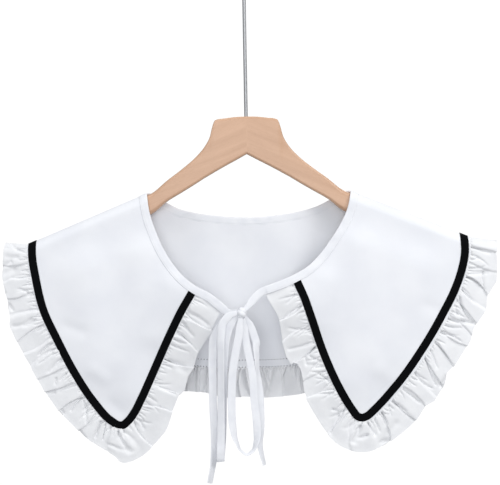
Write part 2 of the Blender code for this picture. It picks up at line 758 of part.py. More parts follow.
def knot(finish):
    """The knot: a small rounded body of turned rings."""
    half = np.array([KNOT_HALF[0], KNOT_HALF[2], KNOT_HALF[1]]) * MM
    rings = []
    for level in np.linspace(-80, 80, 9):
        turn = np.radians(np.arange(0, 360, 36))
        lift = math.radians(level)
        flat = np.stack([np.cos(turn), np.sin(turn)], 1) * math.cos(lift)
        ring = np.column_stack([flat, np.full(len(turn), math.sin(lift))])
        rings.append(in_front(*KNOT) + ring * half)
    tube("tie_knot", np.array(rings), finish)


def strip(name, path, turns, ends_at_knot, finish):
    """A flat tie along a path, its face turned from the front by the table's angles."""
    curve = smooth(np.column_stack([path, np.asarray(turns) * MM]), per_span=12)
    along = arc_lengths(curve[:, :3])
    count = max(6, int(round(along[-1] / TIE_STEP)))
    wanted = np.linspace(0, along[-1], count + 1)
    line = np.stack([np.interp(wanted, along, column) for column in curve.T], axis=1)
    points, angle = line[:, :3], np.radians(line[:, 3] / MM)
    run = np.gradient(points, axis=0)
    run /= np.linalg.norm(run, axis=1)[:, None]
    side = strip_sides(run)
    face = np.cross(side, run)
    side = side * np.cos(angle)[:, None] + face * np.sin(angle)[:, None]
    face = np.cross(side, run)
    width = np.full(len(wanted), TIE_WIDTH)
    for at_knot, away in zip(ends_at_knot, (wanted, along[-1] - wanted)):
        if at_knot:
            width *= PINCH + (1 - PINCH) * ease(away / PINCH_LENGTH)
    edges = [points - side * width[:, None] / 2, points + side * width[:, None] / 2]
    wall(name, np.stack(edges, axis=1), np.stack([face, face], axis=1), TIE, finish)


def strip_sides(run):
    """Directions across a path, first as for a tie that faces the front, then carried on."""
    sides = [np.cross(run[0], [0.0, 1.0, 0.0])]
    for direction in run:
        side = sides[-1] - direction * (sides[-1] @ direction)
        sides.append(side / np.linalg.norm(side))
    return np.array(sides[1:])


def ties(left_end, right_end, finish):
    """The bow: two short stretches to the knot, two loops and two tails."""
    knot(finish)
    clear = KNOT_CLEARANCE
    for name, rows in (("bow_loop_left", LEFT_LOOP), ("bow_loop_right", RIGHT_LOOP)):
        first, last = (knot_point(direction, clear) for direction in KNOT_EXITS[name])
        path = [first] + [in_front(*row[:3]) for row in rows] + [last]
        turns = [rows[0][3]] + [row[3] for row in rows] + [rows[-1][3]]
        strip(name, path, turns, (True, True), finish)
    for name, rows in (("tie_tail_left", LEFT_TAIL), ("tie_tail_right", RIGHT_TAIL)):
        first = knot_point(KNOT_EXITS[name][0], clear)
        path = [first] + [in_front(*row[:3]) for row in rows]
        strip(name, path, [rows[0][3]] + [row[3] for row in rows], (True, False), finish)
    for name, (before, end) in (("tie_neck_left", left_end), ("tie_neck_right", right_end)):
        run = (end - before) / np.linalg.norm(end - before)
        end = end - (0.0, (BAND - CLOTH) / 2, 0.0)
        last = knot_point(KNOT_EXITS[name][0], clear)
        path = [end + run * clear, end + run * 3 * MM, last]
        strip(name, path, [0, 0, 0], (False, True), finish)


def back_edge_rows():
    """The back's rounded outline, from the left shoulder round the hem to the right."""
    turn = np.radians(np.linspace(0, 180, 25))
    power = 2 / BACK_FULLNESS
    level = (unrolled_ridge(COLLAR_HALF) - NECK_LEVEL) / MM
    across = -COLLAR_HALF / MM * np.sign(np.cos(turn)) * np.abs(np.cos(turn)) ** power
    height = level - BACK_LENGTH / MM * np.sin(turn) ** power
    return np.column_stack([across, height])


def build():
    clear_scene()
    poplin = material("white_poplin", (0.86, 0.87, 0.90), 0.85)
    black = material("black_ribbon", (0.012, 0.013, 0.015), 0.6)
    beech = material("beech", (0.62, 0.42, 0.27), 0.5)
    steel = material("steel_wire", (0.65, 0.65, 0.66), 0.25, 1.0)

    out_left, out_right = (-1.0, 0.0), (1.0, 0.0)
    in_left, in_right = along_ridge(-1, False), along_ridge(1, False)
    left_edge = Edge(LEFT_EDGE, -1, -1, out_left)
    right_edge = Edge(RIGHT_EDGE, -1, 1, out_right)
    back_edge = Edge(back_edge_rows(), 1, -1, out_left, out_right)
    left_neck = Edge(LEFT_NECK, -1, -1, in_left)
    right_neck = Edge(RIGHT_NECK, -1, 1, in_right)
    back_neck = Edge(BACK_NECK, 1, -1, in_left, in_right)

    for name, edge, neck, both_ends, free in (
        ("left", left_edge, left_neck, False, LEFT_NECK_FREE),
        ("right", right_edge, right_neck, False, RIGHT_NECK_FREE),
        ("back", back_edge, back_neck, True, 0.0),
    ):
        node = "back" if name == "back" else "front_" + name
        grid, normals = panel(node, edge, neck, both_ends, neck.length - free, poplin)
        lift = CLOTH / 2 + SEAM + RIBBON / 2
        wall("trim_" + name, grid, normals, RIBBON, black, lift)

    for side, hand, rows, table, past in (
        ("left", -1, LEFT_EDGE, LEFT_GATHERS, LEFT_FRILL_END),
        ("right", 1, RIGHT_EDGE, RIGHT_GATHERS, RIGHT_FRILL_END),
    ):
        longer = Edge(run_on(rows, RUN_ON), -1, hand, (hand, 0.0))
        ends = [longer.length - RUN_ON * MM + extra for extra in past]
        ruffle("ruffle_" + side, longer, table, False, ends, poplin)
    back_ends = (back_edge.length, back_edge.length)
    ruffle("ruffle_back", back_edge, back_gathers(back_edge.length), True, back_ends, poplin)

    left_end, right_end = binding(left_neck, back_neck, right_neck, poplin)
    ties(left_end, right_end, poplin)
    hanger(beech, steel)


build()
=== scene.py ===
import math

import bpy
import numpy as np
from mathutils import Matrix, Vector


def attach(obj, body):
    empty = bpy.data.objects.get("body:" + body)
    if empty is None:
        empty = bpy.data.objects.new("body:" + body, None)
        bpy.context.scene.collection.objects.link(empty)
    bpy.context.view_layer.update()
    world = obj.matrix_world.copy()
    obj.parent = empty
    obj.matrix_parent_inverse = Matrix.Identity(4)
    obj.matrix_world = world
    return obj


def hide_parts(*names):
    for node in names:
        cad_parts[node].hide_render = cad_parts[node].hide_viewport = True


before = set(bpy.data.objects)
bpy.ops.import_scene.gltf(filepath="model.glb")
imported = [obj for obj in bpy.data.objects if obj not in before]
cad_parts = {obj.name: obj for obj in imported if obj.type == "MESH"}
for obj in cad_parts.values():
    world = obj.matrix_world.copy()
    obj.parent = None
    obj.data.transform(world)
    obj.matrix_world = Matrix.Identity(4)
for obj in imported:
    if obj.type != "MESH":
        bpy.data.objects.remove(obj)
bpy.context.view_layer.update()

# CAMERA
# It stands level in front of the collar, far off, and is rolled by the one degree by which the
# collar hangs out of true in the picture.
MM = 0.001
PICTURE_CENTRE = (1.6 * MM, 0.0, -271.3 * MM)
PICTURE_WIDTH = 450 * MM
CAMERA_LENS = 160.0
CAMERA_SENSOR = 36.0
CAMERA_ROLL = math.radians(1.0)

camera_data = bpy.data.cameras.new("camera")
camera_data.lens = CAMERA_LENS
camera_data.sensor_width = CAMERA_SENSOR
camera_data.clip_start = 0.05
camera_data.clip_end = 50.0
camera = bpy.data.objects.new("camera", camera_data)
bpy.context.scene.collection.objects.link(camera)
camera.location = (
    PICTURE_CENTRE[0],
    -PICTURE_WIDTH * CAMERA_LENS / CAMERA_SENSOR,
    PICTURE_CENTRE[2],
)
camera.rotation_euler = (math.pi / 2, CAMERA_ROLL, 0.0)
bpy.context.scene.camera = camera

# TIES
# Two narrow ties of the collar's own white poplin, folded in four and edge stitched. They are the
# ends of the neck binding, tied in a small bow with long thin loops and two free ends.
NECK_LEVEL = -224 * MM  # height of the neck points; the tables below measure from it
TIE_WIDTH = 7.0 * MM
TIE_THICKNESS = 1.0 * MM
PINCH = 0.62  # width at the knot, as a share of the full width
PINCH_LENGTH = 10 * MM
TIE_STEP = 0.9 * MM  # between the rows of its mesh
TIE_BOW = 0.35 * MM  # how far its face bows
KNOT = (-7.0, -110.0, 23.6)  # across, height, forward
KNOT_HALF = (4.4, 5.1, 4.3)  # half sizes in the same order
KNOT_CLEARANCE = 0.2 * MM
LEFT_LOOP = (  # across, height, forward, turn in degrees from the front
    (-17.0, -111.5, 27.0, 0),
    (-22.6, -117.0, 27.6, 0),
    (-25.4, -128.0, 27.6, -14),
    (-26.0, -152.0, 27.0, -34),
    (-26.6, -190.0, 26.2, -36),
    (-27.4, -224.0, 25.6, -14),
    (-27.8, -236.5, 25.4, 0),
    (-27.9, -240.6, 24.6, 0),
    (-27.9, -241.8, 23.6, 0),
    (-27.8, -240.6, 22.6, 0),
    (-27.5, -236.5, 21.9, 0),
    (-26.4, -224.0, 21.9, 0),
    (-24.8, -188.0, 22.4, 0),
    (-23.2, -152.0, 23.0, 0),
    (-20.4, -130.0, 23.6, 0),
    (-16.4, -119.5, 23.9, 0),
)
RIGHT_LOOP = (
    (-9.4, -128.0, 26.0, 0),
    (-12.6, -143.0, 26.0, 0),
    (-15.3, -158.0, 26.0, 0),
    (-16.9, -178.0, 26.0, 0),
    (-17.1, -200.0, 26.0, 5),
    (-15.9, -214.5, 25.8, 30),
    (-12.7, -225.5, 25.4, 62),
    (-8.6, -233.0, 24.8, 78),
    (-4.4, -235.8, 24.4, 82),
    (-0.4, -233.4, 24.0, 78),
    (3.6, -226.0, 23.6, 60),
    (5.1, -215.0, 23.2, 28),
    (4.3, -201.0, 23.0, 8),
    (2.9, -187.0, 22.8, 0),
    (2.3, -171.0, 22.8, 0),
    (0.4, -156.0, 22.8, 0),
    (-2.2, -143.0, 22.8, 0),
    (-4.2, -130.0, 22.8, 0),
)
LEFT_TAIL = (
    (-16.8, -119.0, 21.8, 0),
    (-25.0, -121.5, 21.8, 0),
    (-31.2, -129.5, 21.6, 0),
    (-33.6, -148.0, 20.8, 0),
    (-33.8, -171.0, 20.2, 0),
    (-33.8, -190.0, 19.8, 0),
    (-32.9, -215.0, 19.6, 0),
    (-33.4, -234.0, 19.6, 22),
    (-35.2, -247.5, 19.6, 46),
    (-38.1, -261.3, 19.8, 58),
)
RIGHT_TAIL = (
    (0.6, -122.0, 19.8, 0),
    (4.0, -131.0, 19.4, 8),
    (5.6, -144.0, 19.0, 46),
    (6.2, -158.0, 18.8, 62),
    (7.3, -172.0, 18.8, 40),
    (8.4, -190.0, 18.8, 12),
    (8.4, -211.0, 18.8, 10),
    (7.3, -225.0, 18.6, 30),
    (8.9, -236.0, 18.4, 50),
    (11.2, -246.0, 18.2, 60),
)
KNOT_EXITS = {  # directions from the knot's middle: across, height, forward
    "bow_loop_left": ((-1.0, 0.1, 0.6), (-0.8, -0.9, 0.05)),
    "bow_loop_right": ((-0.25, -1.0, 0.5), (0.25, -1.0, -0.05)),
    "tie_tail_left": ((-0.75, -0.75, -0.55),),
    "tie_tail_right": ((0.6, -0.8, -0.75),),
    "tie_neck_left": ((-1.0, 0.35, -0.55),),
    "tie_neck_right": ((0.75, 0.75, -0.4),),
}


def cubic(t, start, leaving, end, arriving):
    """Points of the cubic from start to end whose slopes there are leaving and arriving."""
    return (
        (2 * t**3 - 3 * t**2 + 1) * start
        + (t**3 - 2 * t**2 + t) * leaving
        + (3 * t**2 - 2 * t**3) * end
        + (t**3 - t**2) * arriving
    )


def smooth(rows, per_span=16):
    """A curve through the rows: a cubic between each two, with slopes weighed by their spacing."""
    rows = np.asarray(rows, float)
    span = np.linalg.norm(np.diff(rows, axis=0), axis=1)
    slope = np.diff(rows, axis=0) / span[:, None]
    weighed = slope[:-1] * span[1:, None] + slope[1:] * span[:-1, None]
    inner = weighed / (span[1:] + span[:-1])[:, None]
    tangent = np.vstack([slope[:1], inner, slope[-1:]])
    leaving, arriving = (slopes[:, None] * span[:, None, None] for slopes in (tangent[:-1], tangent[1:]))
    t = np.linspace(0, 1, per_span, endpoint=False)[None, :, None]
    curve = cubic(t, rows[:-1, None], leaving, rows[1:, None], arriving)
    return np.vstack([curve.reshape(-1, rows.shape[1]), rows[-1:]])


def arc_lengths(curve):
    """Distance along a curve of each of its points: the running sum of its steps."""
    steps = np.linalg.norm(np.diff(curve, axis=0), axis=1)
    return np.concatenate([[0.0], np.cumsum(steps)])


def at_lengths(curve, lengths):
    """Points of the curve at these distances along it, straight between its own points."""
    along = arc_lengths(curve)
    return np.stack([np.interp(lengths, along, column) for column in curve.T], axis=-1)


def ease(value):
    """0 below 0, 1 above 1, and 3v^2 - 2v^3 between."""
    value = np.clip(value, 0.0, 1.0)
    return value * value * (3 - 2 * value)


def add_mesh(name, points, faces, finish, uv=None, sharp=None):
    """A smooth mesh object from points and lists of their numbers. It may have one UV place for
    each point, and sharp edges where faces meet at more than an angle."""
    mesh = bpy.data.meshes.new(name)
    mesh.from_pydata(points.reshape(-1, 3), [], faces)
    if uv is not None:
        corner = np.empty(len(mesh.loops), np.int32)
        mesh.loops.foreach_get("vertex_index", corner)
        layer = mesh.uv_layers.new(name="cut")
        layer.data.foreach_set("uv", uv.reshape(-1, 2)[corner].astype(np.float32).ravel())
    mesh.materials.append(finish)
    mesh.shade_smooth()
    if sharp is not None:
        mesh.set_sharp_from_angle(angle=sharp)
        mesh.validate()
    made = bpy.data.objects.new(name, mesh)
    bpy.context.scene.collection.objects.link(made)
    return made


def grid_faces(index):
    """Quads between each four neighbours of a grid of point numbers."""
    corners = (index[:-1, :-1], index[1:, :-1], index[1:, 1:], index[:-1, 1:])
    return np.stack(corners, -1).reshape(-1, 4)


CLOTH_SHARP = math.radians(50)  # cloth's faces that meet at more than this have a sharp edge


def two_faced(name, middle, normals, half, uv, finish):
    """A closed piece of cloth: the middle surface moved out and in by half its thickness, and
    quads along all four borders. The normals point to its outer face."""
    rows, columns = middle.shape[:2]
    half = np.broadcast_to(half, (rows, columns))[..., None]
    points = np.concatenate([middle + normals * half, middle - normals * half])
    index = np.arange(rows * columns).reshape(rows, columns)
    front = grid_faces(index)
    along, across = middle[1:] - middle[:-1], middle[:, 1:] - middle[:, :-1]
    turned = np.cross(along[:, :-1], across[:-1])
    if (turned * normals[:-1, :-1]).sum() < 0:
        front = front[:, ::-1]
        ring = (index[0, :-1], index[:-1, -1], index[-1, :0:-1], index[:0:-1, 0])
    else:
        ring = (index[:-1, 0], index[-1, :-1], index[:0:-1, -1], index[0, :0:-1])
    ring = np.concatenate(ring)
    behind = front[:, ::-1] + rows * columns
    following = np.roll(ring, -1)
    border = np.stack([following, ring, ring + rows * columns, following + rows * columns], -1)
    faces = np.concatenate([front, behind, border]).tolist()
    return add_mesh(name, points, faces, finish, np.concatenate([uv, uv]), CLOTH_SHARP)


def hang_on(piece, slot, *nodes):
    """The piece rides on the one body and stands for the nodes. The slot is not used."""
    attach(piece, "root")
    if nodes:
        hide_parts(*nodes)
    return piece


def in_front(across, height, forward):
    """A place given by table numbers, in the frame's own metres."""
    return np.array([across * MM, -forward * MM, height * MM + NECK_LEVEL])


def knot_point(direction):
    """The knot's surface in a direction from its middle, moved out by the clearance."""
    across, height, forward = direction
    ray = np.array([across, -forward, height], float)
    half = np.array([KNOT_HALF[0], KNOT_HALF[2], KNOT_HALF[1]]) * MM
    reach = 1 / np.linalg.norm(ray / half)
    return in_front(*KNOT) + ray * reach + ray / np.linalg.norm(ray) * KNOT_CLEARANCE


def fill(tree, made, inputs):
    """Gives a node's inputs their values, or joins them to the sockets given."""
    for key, value in inputs.items():
        socket = made.inputs[key.replace("_", " ")]
        if isinstance(value, bpy.types.NodeSocket):
            tree.links.new(value, socket)
        else:
            socket.default_value = value


def new_finish(name):
    """A new material, and two functions for it: one makes a node with settings and inputs, and
    the other sets the inputs of its shader."""
    finish = bpy.data.materials.new(name)
    finish.use_nodes = True
    tree = finish.node_tree

    def node(kind, settings=(), **inputs):
        made = tree.nodes.new("ShaderNode" + kind)
        for key, value in settings:
            setattr(made, key, value)
        fill(tree, made, inputs)
        return made

    def shader(**inputs):
        fill(tree, tree.nodes["Principled BSDF"], inputs)

    return finish, node, shader


def ramp(node, factor, low, high):
    """A colour that runs from one to the other between two values of the factor."""
    made = node("ValToRGB", Fac=factor)
    for element, (position, colour) in zip(made.color_ramp.elements, (low, high)):
        element.position = position
        element.color = (*colour, 1.0)
    return made.outputs["Color"]


POPLIN_WHITE = (0.845, 0.855, 0.885)
# painted shade: the darker colour given to the low places of the crumple noise
POPLIN_PAINTED_SHADE = (0.80, 0.812, 0.85)
THREAD_SCALE = 620.0  # threads 0.5 mm apart: one wave is 0.314 / scale metres


def poplin(name, crumple, crumple_size, white=POPLIN_WHITE, painted_shade=POPLIN_PAINTED_SHADE):
    """White cotton poplin: two crossed sets of fine threads on the cut's own UV, and a soft noise
    in the frame's coordinates for the way the cloth is never quite flat. The noise bumps it, and
    also paints shade into its colour where it is low."""
    finish, node, shader = new_finish(name)
    place = node("TexCoord")
    weave = node("Math", (("operation", "MAXIMUM"),))
    for socket, way in zip(weave.inputs, "XY"):
        threads = node(
            "TexWave", (("bands_direction", way),), Vector=place.outputs["UV"], Scale=THREAD_SCALE
        )
        finish.node_tree.links.new(threads.outputs["Fac"], socket)
    cloud = node(
        "TexNoise", Vector=place.outputs["Object"], Scale=1 / crumple_size, Detail=3.0, Roughness=0.45
    )
    # painted shade: the colour runs down to the darker one where the noise that bumps the cloth is low
    colour = ramp(node, cloud.outputs["Fac"], (0.3, painted_shade), (0.62, white))
    rough = node("Bump", Strength=1.0, Distance=crumple, Height=cloud.outputs["Fac"])
    fine = node(
        "Bump", Strength=0.35, Distance=0.05 * MM, Height=weave.outputs[0], Normal=rough.outputs[0]
    )
    shader(Base_Color=colour, Normal=fine.outputs[0], Roughness=0.82, Specular_IOR_Level=0.25)
    shader(Sheen_Weight=0.12, Sheen_Roughness=0.5)
    return finish


tie_cloth = poplin("tie_poplin", 0.35 * MM, 9 * MM)


def strip_sides(run):
    """Directions across a path, first as for a tie that faces the front, then carried on."""
    sides = [np.cross(run[0], [0.0, 1.0, 0.0])]
    for direction in run:
        side = sides[-1] - direction * (sides[-1] @ direction)
        sides.append(side / np.linalg.norm(side))
    return np.array(sides[1:])


def tie(name, path, turns, at_knot, ripple):
    """A flat folded tie: a cross-section with round edges, thinner down its middle, carried along
    the smoothed path, turned by the table's angles, pinched at the knot, and rippled a little."""
    curve = smooth(np.column_stack([path, np.asarray(turns) * MM]), per_span=16)
    along = arc_lengths(curve[:, :3])
    wanted = np.linspace(0, along[-1], max(24, int(along[-1] / TIE_STEP)))
    line = np.stack([np.interp(wanted, along, column) for column in curve.T], axis=1)
    points, angle = line[:, :3], np.radians(line[:, 3] / MM)
    waves = wanted / (13 * MM) + 2.1 * np.sin(wanted / (31 * MM))
    angle = angle + math.radians(ripple) * np.sin(waves)
    run = np.gradient(points, axis=0)
    run /= np.linalg.norm(run, axis=1)[:, None]
    side = strip_sides(run)
    face = np.cross(side, run)
    side = side * np.cos(angle)[:, None] + face * np.sin(angle)[:, None]
    face = np.cross(side, run)
    width = np.full(len(wanted), TIE_WIDTH)
    for pinched, away in zip(at_knot, (wanted, along[-1] - wanted)):
        if pinched:
            width = width * (PINCH + (1 - PINCH) * ease(away / PINCH_LENGTH))
    share = np.linspace(-1, 1, 15)
    bow = TIE_BOW * np.sin(wanted / (17 * MM) + 0.8)[:, None] * (share**2 - 0.4)
    half = TIE_THICKNESS / 2 * np.sqrt(np.clip(1 - share**8, 0.02, 1)) * (0.72 + 0.28 * share**4)
    middle = points[:, None] + side[:, None] * (share * width[:, None] / 2)[..., None]
    middle = middle + face[:, None] * bow[..., None]
    uv = np.stack(np.broadcast_arrays(wanted[:, None], share * TIE_WIDTH / 2), -1)
    normals = np.broadcast_to(face[:, None], middle.shape)
    made = two_faced(name, middle, normals, half, uv, tie_cloth)
    return made, points, along[-1]


for name, rows in (("bow_loop_left", LEFT_LOOP), ("bow_loop_right", RIGHT_LOOP)):
    first, last = (knot_point(direction) for direction in KNOT_EXITS[name])
    path = [first] + [in_front(*row[:3]) for row in rows] + [last]
    turns = [rows[0][3]] + [row[3] for row in rows] + [rows[-1][3]]
    loop, line, length = tie(name + "_cloth", path, turns, (True, True), 4.0)
    hang_on(loop, "poplin", name)

for name, rows in (("tie_tail_left", LEFT_TAIL), ("tie_tail_right", RIGHT_TAIL)):
    first = knot_point(KNOT_EXITS[name][0])
    path = [first] + [in_front(*row[:3]) for row in rows]
    turns = [rows[0][3]] + [row[3] for row in rows]
    tail, line, length = tie(name + "_cloth", path, turns, (True, False), 6.0)
    hang_on(tail, "poplin", name)

# KNOT
# The bow's small knot: the two ties wrapped once round each other and pulled tight, so that its
# surface is a few slanting folds of the same poplin.
KNOT_FOLD = 0.2  # depth of its folds, as a share of its radius
KNOT_LEAN = 2.85  # how steeply its folds wind round it
KNOT_LUMP = 0.04  # depth of its uneven lumps, as a share of its radius
KNOT_SIDES = 72
KNOT_RINGS = 49


def tube_faces(rings, sides):
    """Quads between rings that each close on themselves, facing out where the rings turn left
    round the way they run, and a fan of triangles from each end ring to a point of its own."""
    count = rings * sides
    index = np.arange(count).reshape(rings, sides)
    index = np.concatenate([index, index[:, :1]], axis=1)
    start = np.stack([index[0, 1:], index[0, :-1], np.full(sides, count)], -1)
    end = np.stack([index[-1, :-1], index[-1, 1:], np.full(sides, count + 1)], -1)
    return grid_faces(index)[:, ::-1].tolist() + start.tolist() + end.tolist()


def with_ends(rings):
    """The points of a stack of rings, and the middle of its first and last ring."""
    return np.concatenate([rings.reshape(-1, 3), [rings[0].mean(0), rings[-1].mean(0)]])


turn = np.linspace(0, 2 * np.pi, KNOT_SIDES + 1)[None, :-1]
lift = np.radians(np.linspace(-88, 88, KNOT_RINGS))[:, None]
fold = np.abs(np.sin(KNOT_LEAN * lift + turn + 0.5)) ** 0.6 - 0.7
lump = np.sin(3 * turn + 2 * lift) * np.cos(lift)
radius = 1 + KNOT_FOLD * fold * np.cos(lift) ** 0.5 + KNOT_LUMP * lump
knot_ball = np.stack(
    [
        radius * np.cos(lift) * np.cos(turn) * KNOT_HALF[0],
        radius * np.cos(lift) * np.sin(turn) * KNOT_HALF[2],
        radius * np.sin(lift) * KNOT_HALF[1],
    ],
    -1,
)
knot_points = with_ends(in_front(*KNOT) + knot_ball * MM)
knot_faces = tube_faces(KNOT_RINGS, KNOT_SIDES)
knot_piece = add_mesh("tie_knot_cloth", knot_points, knot_faces, tie_cloth)
hang_on(knot_piece, "poplin", "tie_knot")

# FRONTS
# Two pointed lapels of white poplin, faced and turned so that each is two layers thick. They lie
# over the hanger's arms and hang down in front, with a few broad soft folds.
NECK_HALF = 92 * MM  # from the middle to the neck point on the shoulder
NECK_POINT = -2.6 * MM  # height of the neck points
COLLAR_HALF = 198 * MM  # from the middle to the ruffle's seam on the shoulder
SLOPE = math.radians(22.2)  # of the shoulders
LEFT_TOP = 0.1  # rise of the ruffle's top past the seam, for each step out
RIGHT_TOP = -0.15
CLOTH = 1.1 * MM  # thickness of the two layers
BAND_WIDTH = 7.5 * MM  # width of the neck binding
BAND_COVER = 1.5 * MM  # how far the binding covers the panels
FOLD_RADIUS = 8.6 * MM  # of the cloth over the hanger's arms
QUARTER = FOLD_RADIUS * math.pi / 2
UNROLLED = QUARTER - FOLD_RADIUS
EASE = 16 * MM  # distance from the shoulder over which a strip turns along it
LEFT_EDGE = (  # the seam between lapel and ruffle, from the shoulder: across, height
    (-198.0, -45.8),
    (-198.3, -56.0),
    (-195.4, -76.2),
    (-188.9, -105.1),
    (-175.8, -134.1),
    (-160.3, -164.0),
    (-144.6, -188.9),
    (-128.0, -207.8),
    (-119.6, -212.7),
    (-114.0, -212.6),
    (-107.7, -208.1),
    (-100.8, -199.0),
    (-95.0, -188.0),
    (-83.2, -162.8),
    (-69.1, -132.2),
    (-56.2, -107.2),
    (-48.9, -95.2),
)
RIGHT_EDGE = (
    (198.0, -45.8),
    (198.9, -60.0),
    (194.8, -79.2),
    (188.3, -96.3),
    (179.3, -114.2),
    (158.1, -150.0),
    (135.1, -180.6),
    (114.0, -202.6),
    (105.4, -208.7),
    (99.3, -210.1),
    (93.4, -207.8),
    (88.2, -201.3),
    (81.6, -190.8),
    (74.9, -178.2),
    (61.6, -147.0),
    (51.0, -114.5),
    (45.6, -98.8),
    (39.7, -85.4),
)
LEFT_NECK = (  # the neck's edge, from the shoulder to the front: across, height
    (-90.6, -2.0),
    (-87.5, -20.5),
    (-82.6, -35.8),
    (-76.1, -51.2),
    (-67.9, -64.9),
    (-57.9, -76.9),
    (-47.9, -84.9),
    (-34.5, -92.3),
    (-19.5, -104.7),
)
RIGHT_NECK = (
    (93.2, -3.1),
    (89.7, -17.1),
    (82.6, -32.4),
    (73.7, -46.0),
    (63.2, -59.6),
    (52.6, -69.6),
    (40.4, -76.5),
    (28.4, -81.6),
    (14.4, -86.4),
)
LEFT_NECK_FREE = 52 * MM  # how far the binding runs on past the lapel, over the ruffle's end
RIGHT_NECK_FREE = 44 * MM
LEFT_UNDER_BAND = 3.0  # mm by which the seam runs on under the binding
RIGHT_UNDER_BAND = 1.0
FRONT_FOLDS = (  # from across, from height, to across, to height, rise, half width
    (-40.0, -96.0, 28.0, -92.0, 10.0, 42.0),
    (-150.0, -62.0, -136.0, -150.0, 4.5, 26.0),
    (-96.0, -60.0, -104.0, -176.0, 3.6, 20.0),
    (-70.0, -88.0, -84.0, -128.0, 3.0, 14.0),
    (148.0, -66.0, 128.0, -150.0, 4.2, 24.0),
    (100.0, -52.0, 88.0, -170.0, 3.8, 21.0),
    (70.0, -84.0, 62.0, -118.0, 2.6, 13.0),
    (-163.0, -120.0, -149.0, -125.0, -0.9, 5.5),
    (-141.0, -159.0, -131.0, -166.0, 0.9, 6.0),
    (-125.0, -189.0, -117.0, -196.0, -0.7, 5.0),
    (171.0, -112.0, 160.0, -107.0, -0.8, 6.0),
    (128.0, -172.0, 116.0, -164.0, 0.9, 7.0),
)
BACK_FOLDS = (
    (72.0, -30.0, 50.0, -92.0, 4.6, 15.0),
    (-70.0, -34.0, -58.0, -110.0, 3.4, 22.0),
    (-8.0, -60.0, -4.0, -150.0, 3.0, 26.0),
    (-140.0, -66.0, -118.0, -136.0, 4.0, 24.0),
    (138.0, -66.0, 116.0, -134.0, 4.2, 22.0),
)
FOLD_START = 12 * MM  # below the shoulder, where soft folds begin to rise
FOLD_FULL = 48 * MM  # and where they have their full rise
PANEL_ROWS = 220
PANEL_COLUMNS = 70
PANEL_SHORT = 0.1 * MM  # from the seam's line to the panel's own edge
BEND_WEIGHT = 0.9  # how much closer the rows stand where the edge bends


def to_metres(rows):
    """Table rows of across and height, as places in the frame's metres."""
    return np.asarray(rows, float) * MM + (0.0, NECK_LEVEL)


def ridge_height(across):
    """Height of the cloth's fold over the arm: it falls by the slope as far as the seam, and past
    the seam the ruffle's top turns up a little on the left and down on the right."""
    out = np.minimum(np.abs(across), COLLAR_HALF) - NECK_HALF
    past = np.clip(np.abs(across) - COLLAR_HALF, 0, None)
    tilt = np.where(across < 0, LEFT_TOP, RIGHT_TOP)
    return NECK_LEVEL + NECK_POINT - math.tan(SLOPE) * out + past * tilt


def unrolled_ridge(across):
    """Height of the fold when the cloth that turns over it is laid out flat with the panel."""
    return ridge_height(across) + UNROLLED / math.cos(SLOPE)


def drape(across, height, face):
    """How far the hanging cloth stands out: for each row a bell of its rise and half width round
    its line, all summed, and eased to nothing at the shoulder."""
    total = np.zeros_like(across)
    for x0, z0, x1, z1, rise, half in FRONT_FOLDS if face < 0 else BACK_FOLDS:
        start = to_metres((x0, z0))
        run = to_metres((x1, z1)) - start
        dx, dz = across - start[0], height - start[1]
        share = np.clip((dx * run[0] + dz * run[1]) / (run @ run), 0, 1)
        away = np.hypot(dx - share * run[0], dz - share * run[1])
        total += rise * MM * np.exp(-((away / (half * MM)) ** 2))
    below = ridge_height(across) - height
    return total * ease((below - FOLD_START) / (FOLD_FULL - FOLD_START))


def on_hanger(flat, face):
    """Bends flat cloth over the arm: a quarter circle from the ridge, then straight down, plus
    the drape. Face is -1 for the front and +1 for the back."""
    across, height = flat[..., 0], flat[..., 1]
    ridge = ridge_height(across)
    below = (ridge - height) * math.cos(SLOPE) + UNROLLED
    angle = np.clip(below / FOLD_RADIUS, 0, math.pi / 2)
    drop = np.where(below < QUARTER, FOLD_RADIUS * (1 - np.cos(angle)), below - UNROLLED)
    depth = FOLD_RADIUS * np.sin(angle) + drape(across, height, face)
    return np.stack([across, face * depth, ridge - drop / math.cos(SLOPE)], axis=-1)


def cloth_normals(grid, face, ridge_rows):
    """Unit normals on the cloth's outer face, from the steps to each point's neighbours. On the
    ridge they stand square to it."""
    normals = np.cross(np.gradient(grid, axis=0), np.gradient(grid, axis=1))
    normals /= np.linalg.norm(normals, axis=-1, keepdims=True)
    if normals[..., 1].sum() * face < 0:
        normals = -normals
    for row in ridge_rows:
        normals[row, :, 1] = 0.0
        normals[row] /= np.linalg.norm(normals[row], axis=-1, keepdims=True)
    return normals


class Edge:
    """A flat curve that begins on the shoulder's ridge, and the direction across it."""

    def __init__(self, rows, face, hand, start_across, end_across=None):
        points = to_metres(rows)
        points[0, 1] = unrolled_ridge(points[0, 0])
        if end_across is not None:
            points[-1, 1] = unrolled_ridge(points[-1, 0])
        self.curve = smooth(points)
        self.face = face
        self.hand = hand
        self.ends = (start_across, end_across)
        self.length = arc_lengths(self.curve)[-1]

    def across(self, lengths):
        """Unit vectors across the curve, eased to the ridge's own direction near it."""
        step = 0.5 * MM
        run = at_lengths(self.curve, lengths + step) - at_lengths(self.curve, lengths - step)
        run /= np.linalg.norm(run, axis=1)[:, None]
        square = self.hand * np.stack([-run[:, 1], run[:, 0]], axis=1)
        for end, away in zip(self.ends, (lengths, self.length - lengths)):
            if end is not None:
                share = 1 - ease(away / EASE)[:, None]
                square = square * (1 - share) + np.asarray(end) * share
        return square / np.linalg.norm(square, axis=1)[:, None]

    def beside(self, lengths, distance):
        """Flat points at this distance across from the curve. Ends on the ridge stay on it."""
        points = at_lengths(self.curve, lengths) + self.across(lengths) * np.reshape(distance, (-1, 1))
        for end, away in zip(self.ends, (lengths, self.length - lengths)):
            if end is not None:
                on_ridge = away < 1e-6
                points[on_ridge, 1] = unrolled_ridge(points[on_ridge, 0])
        return points


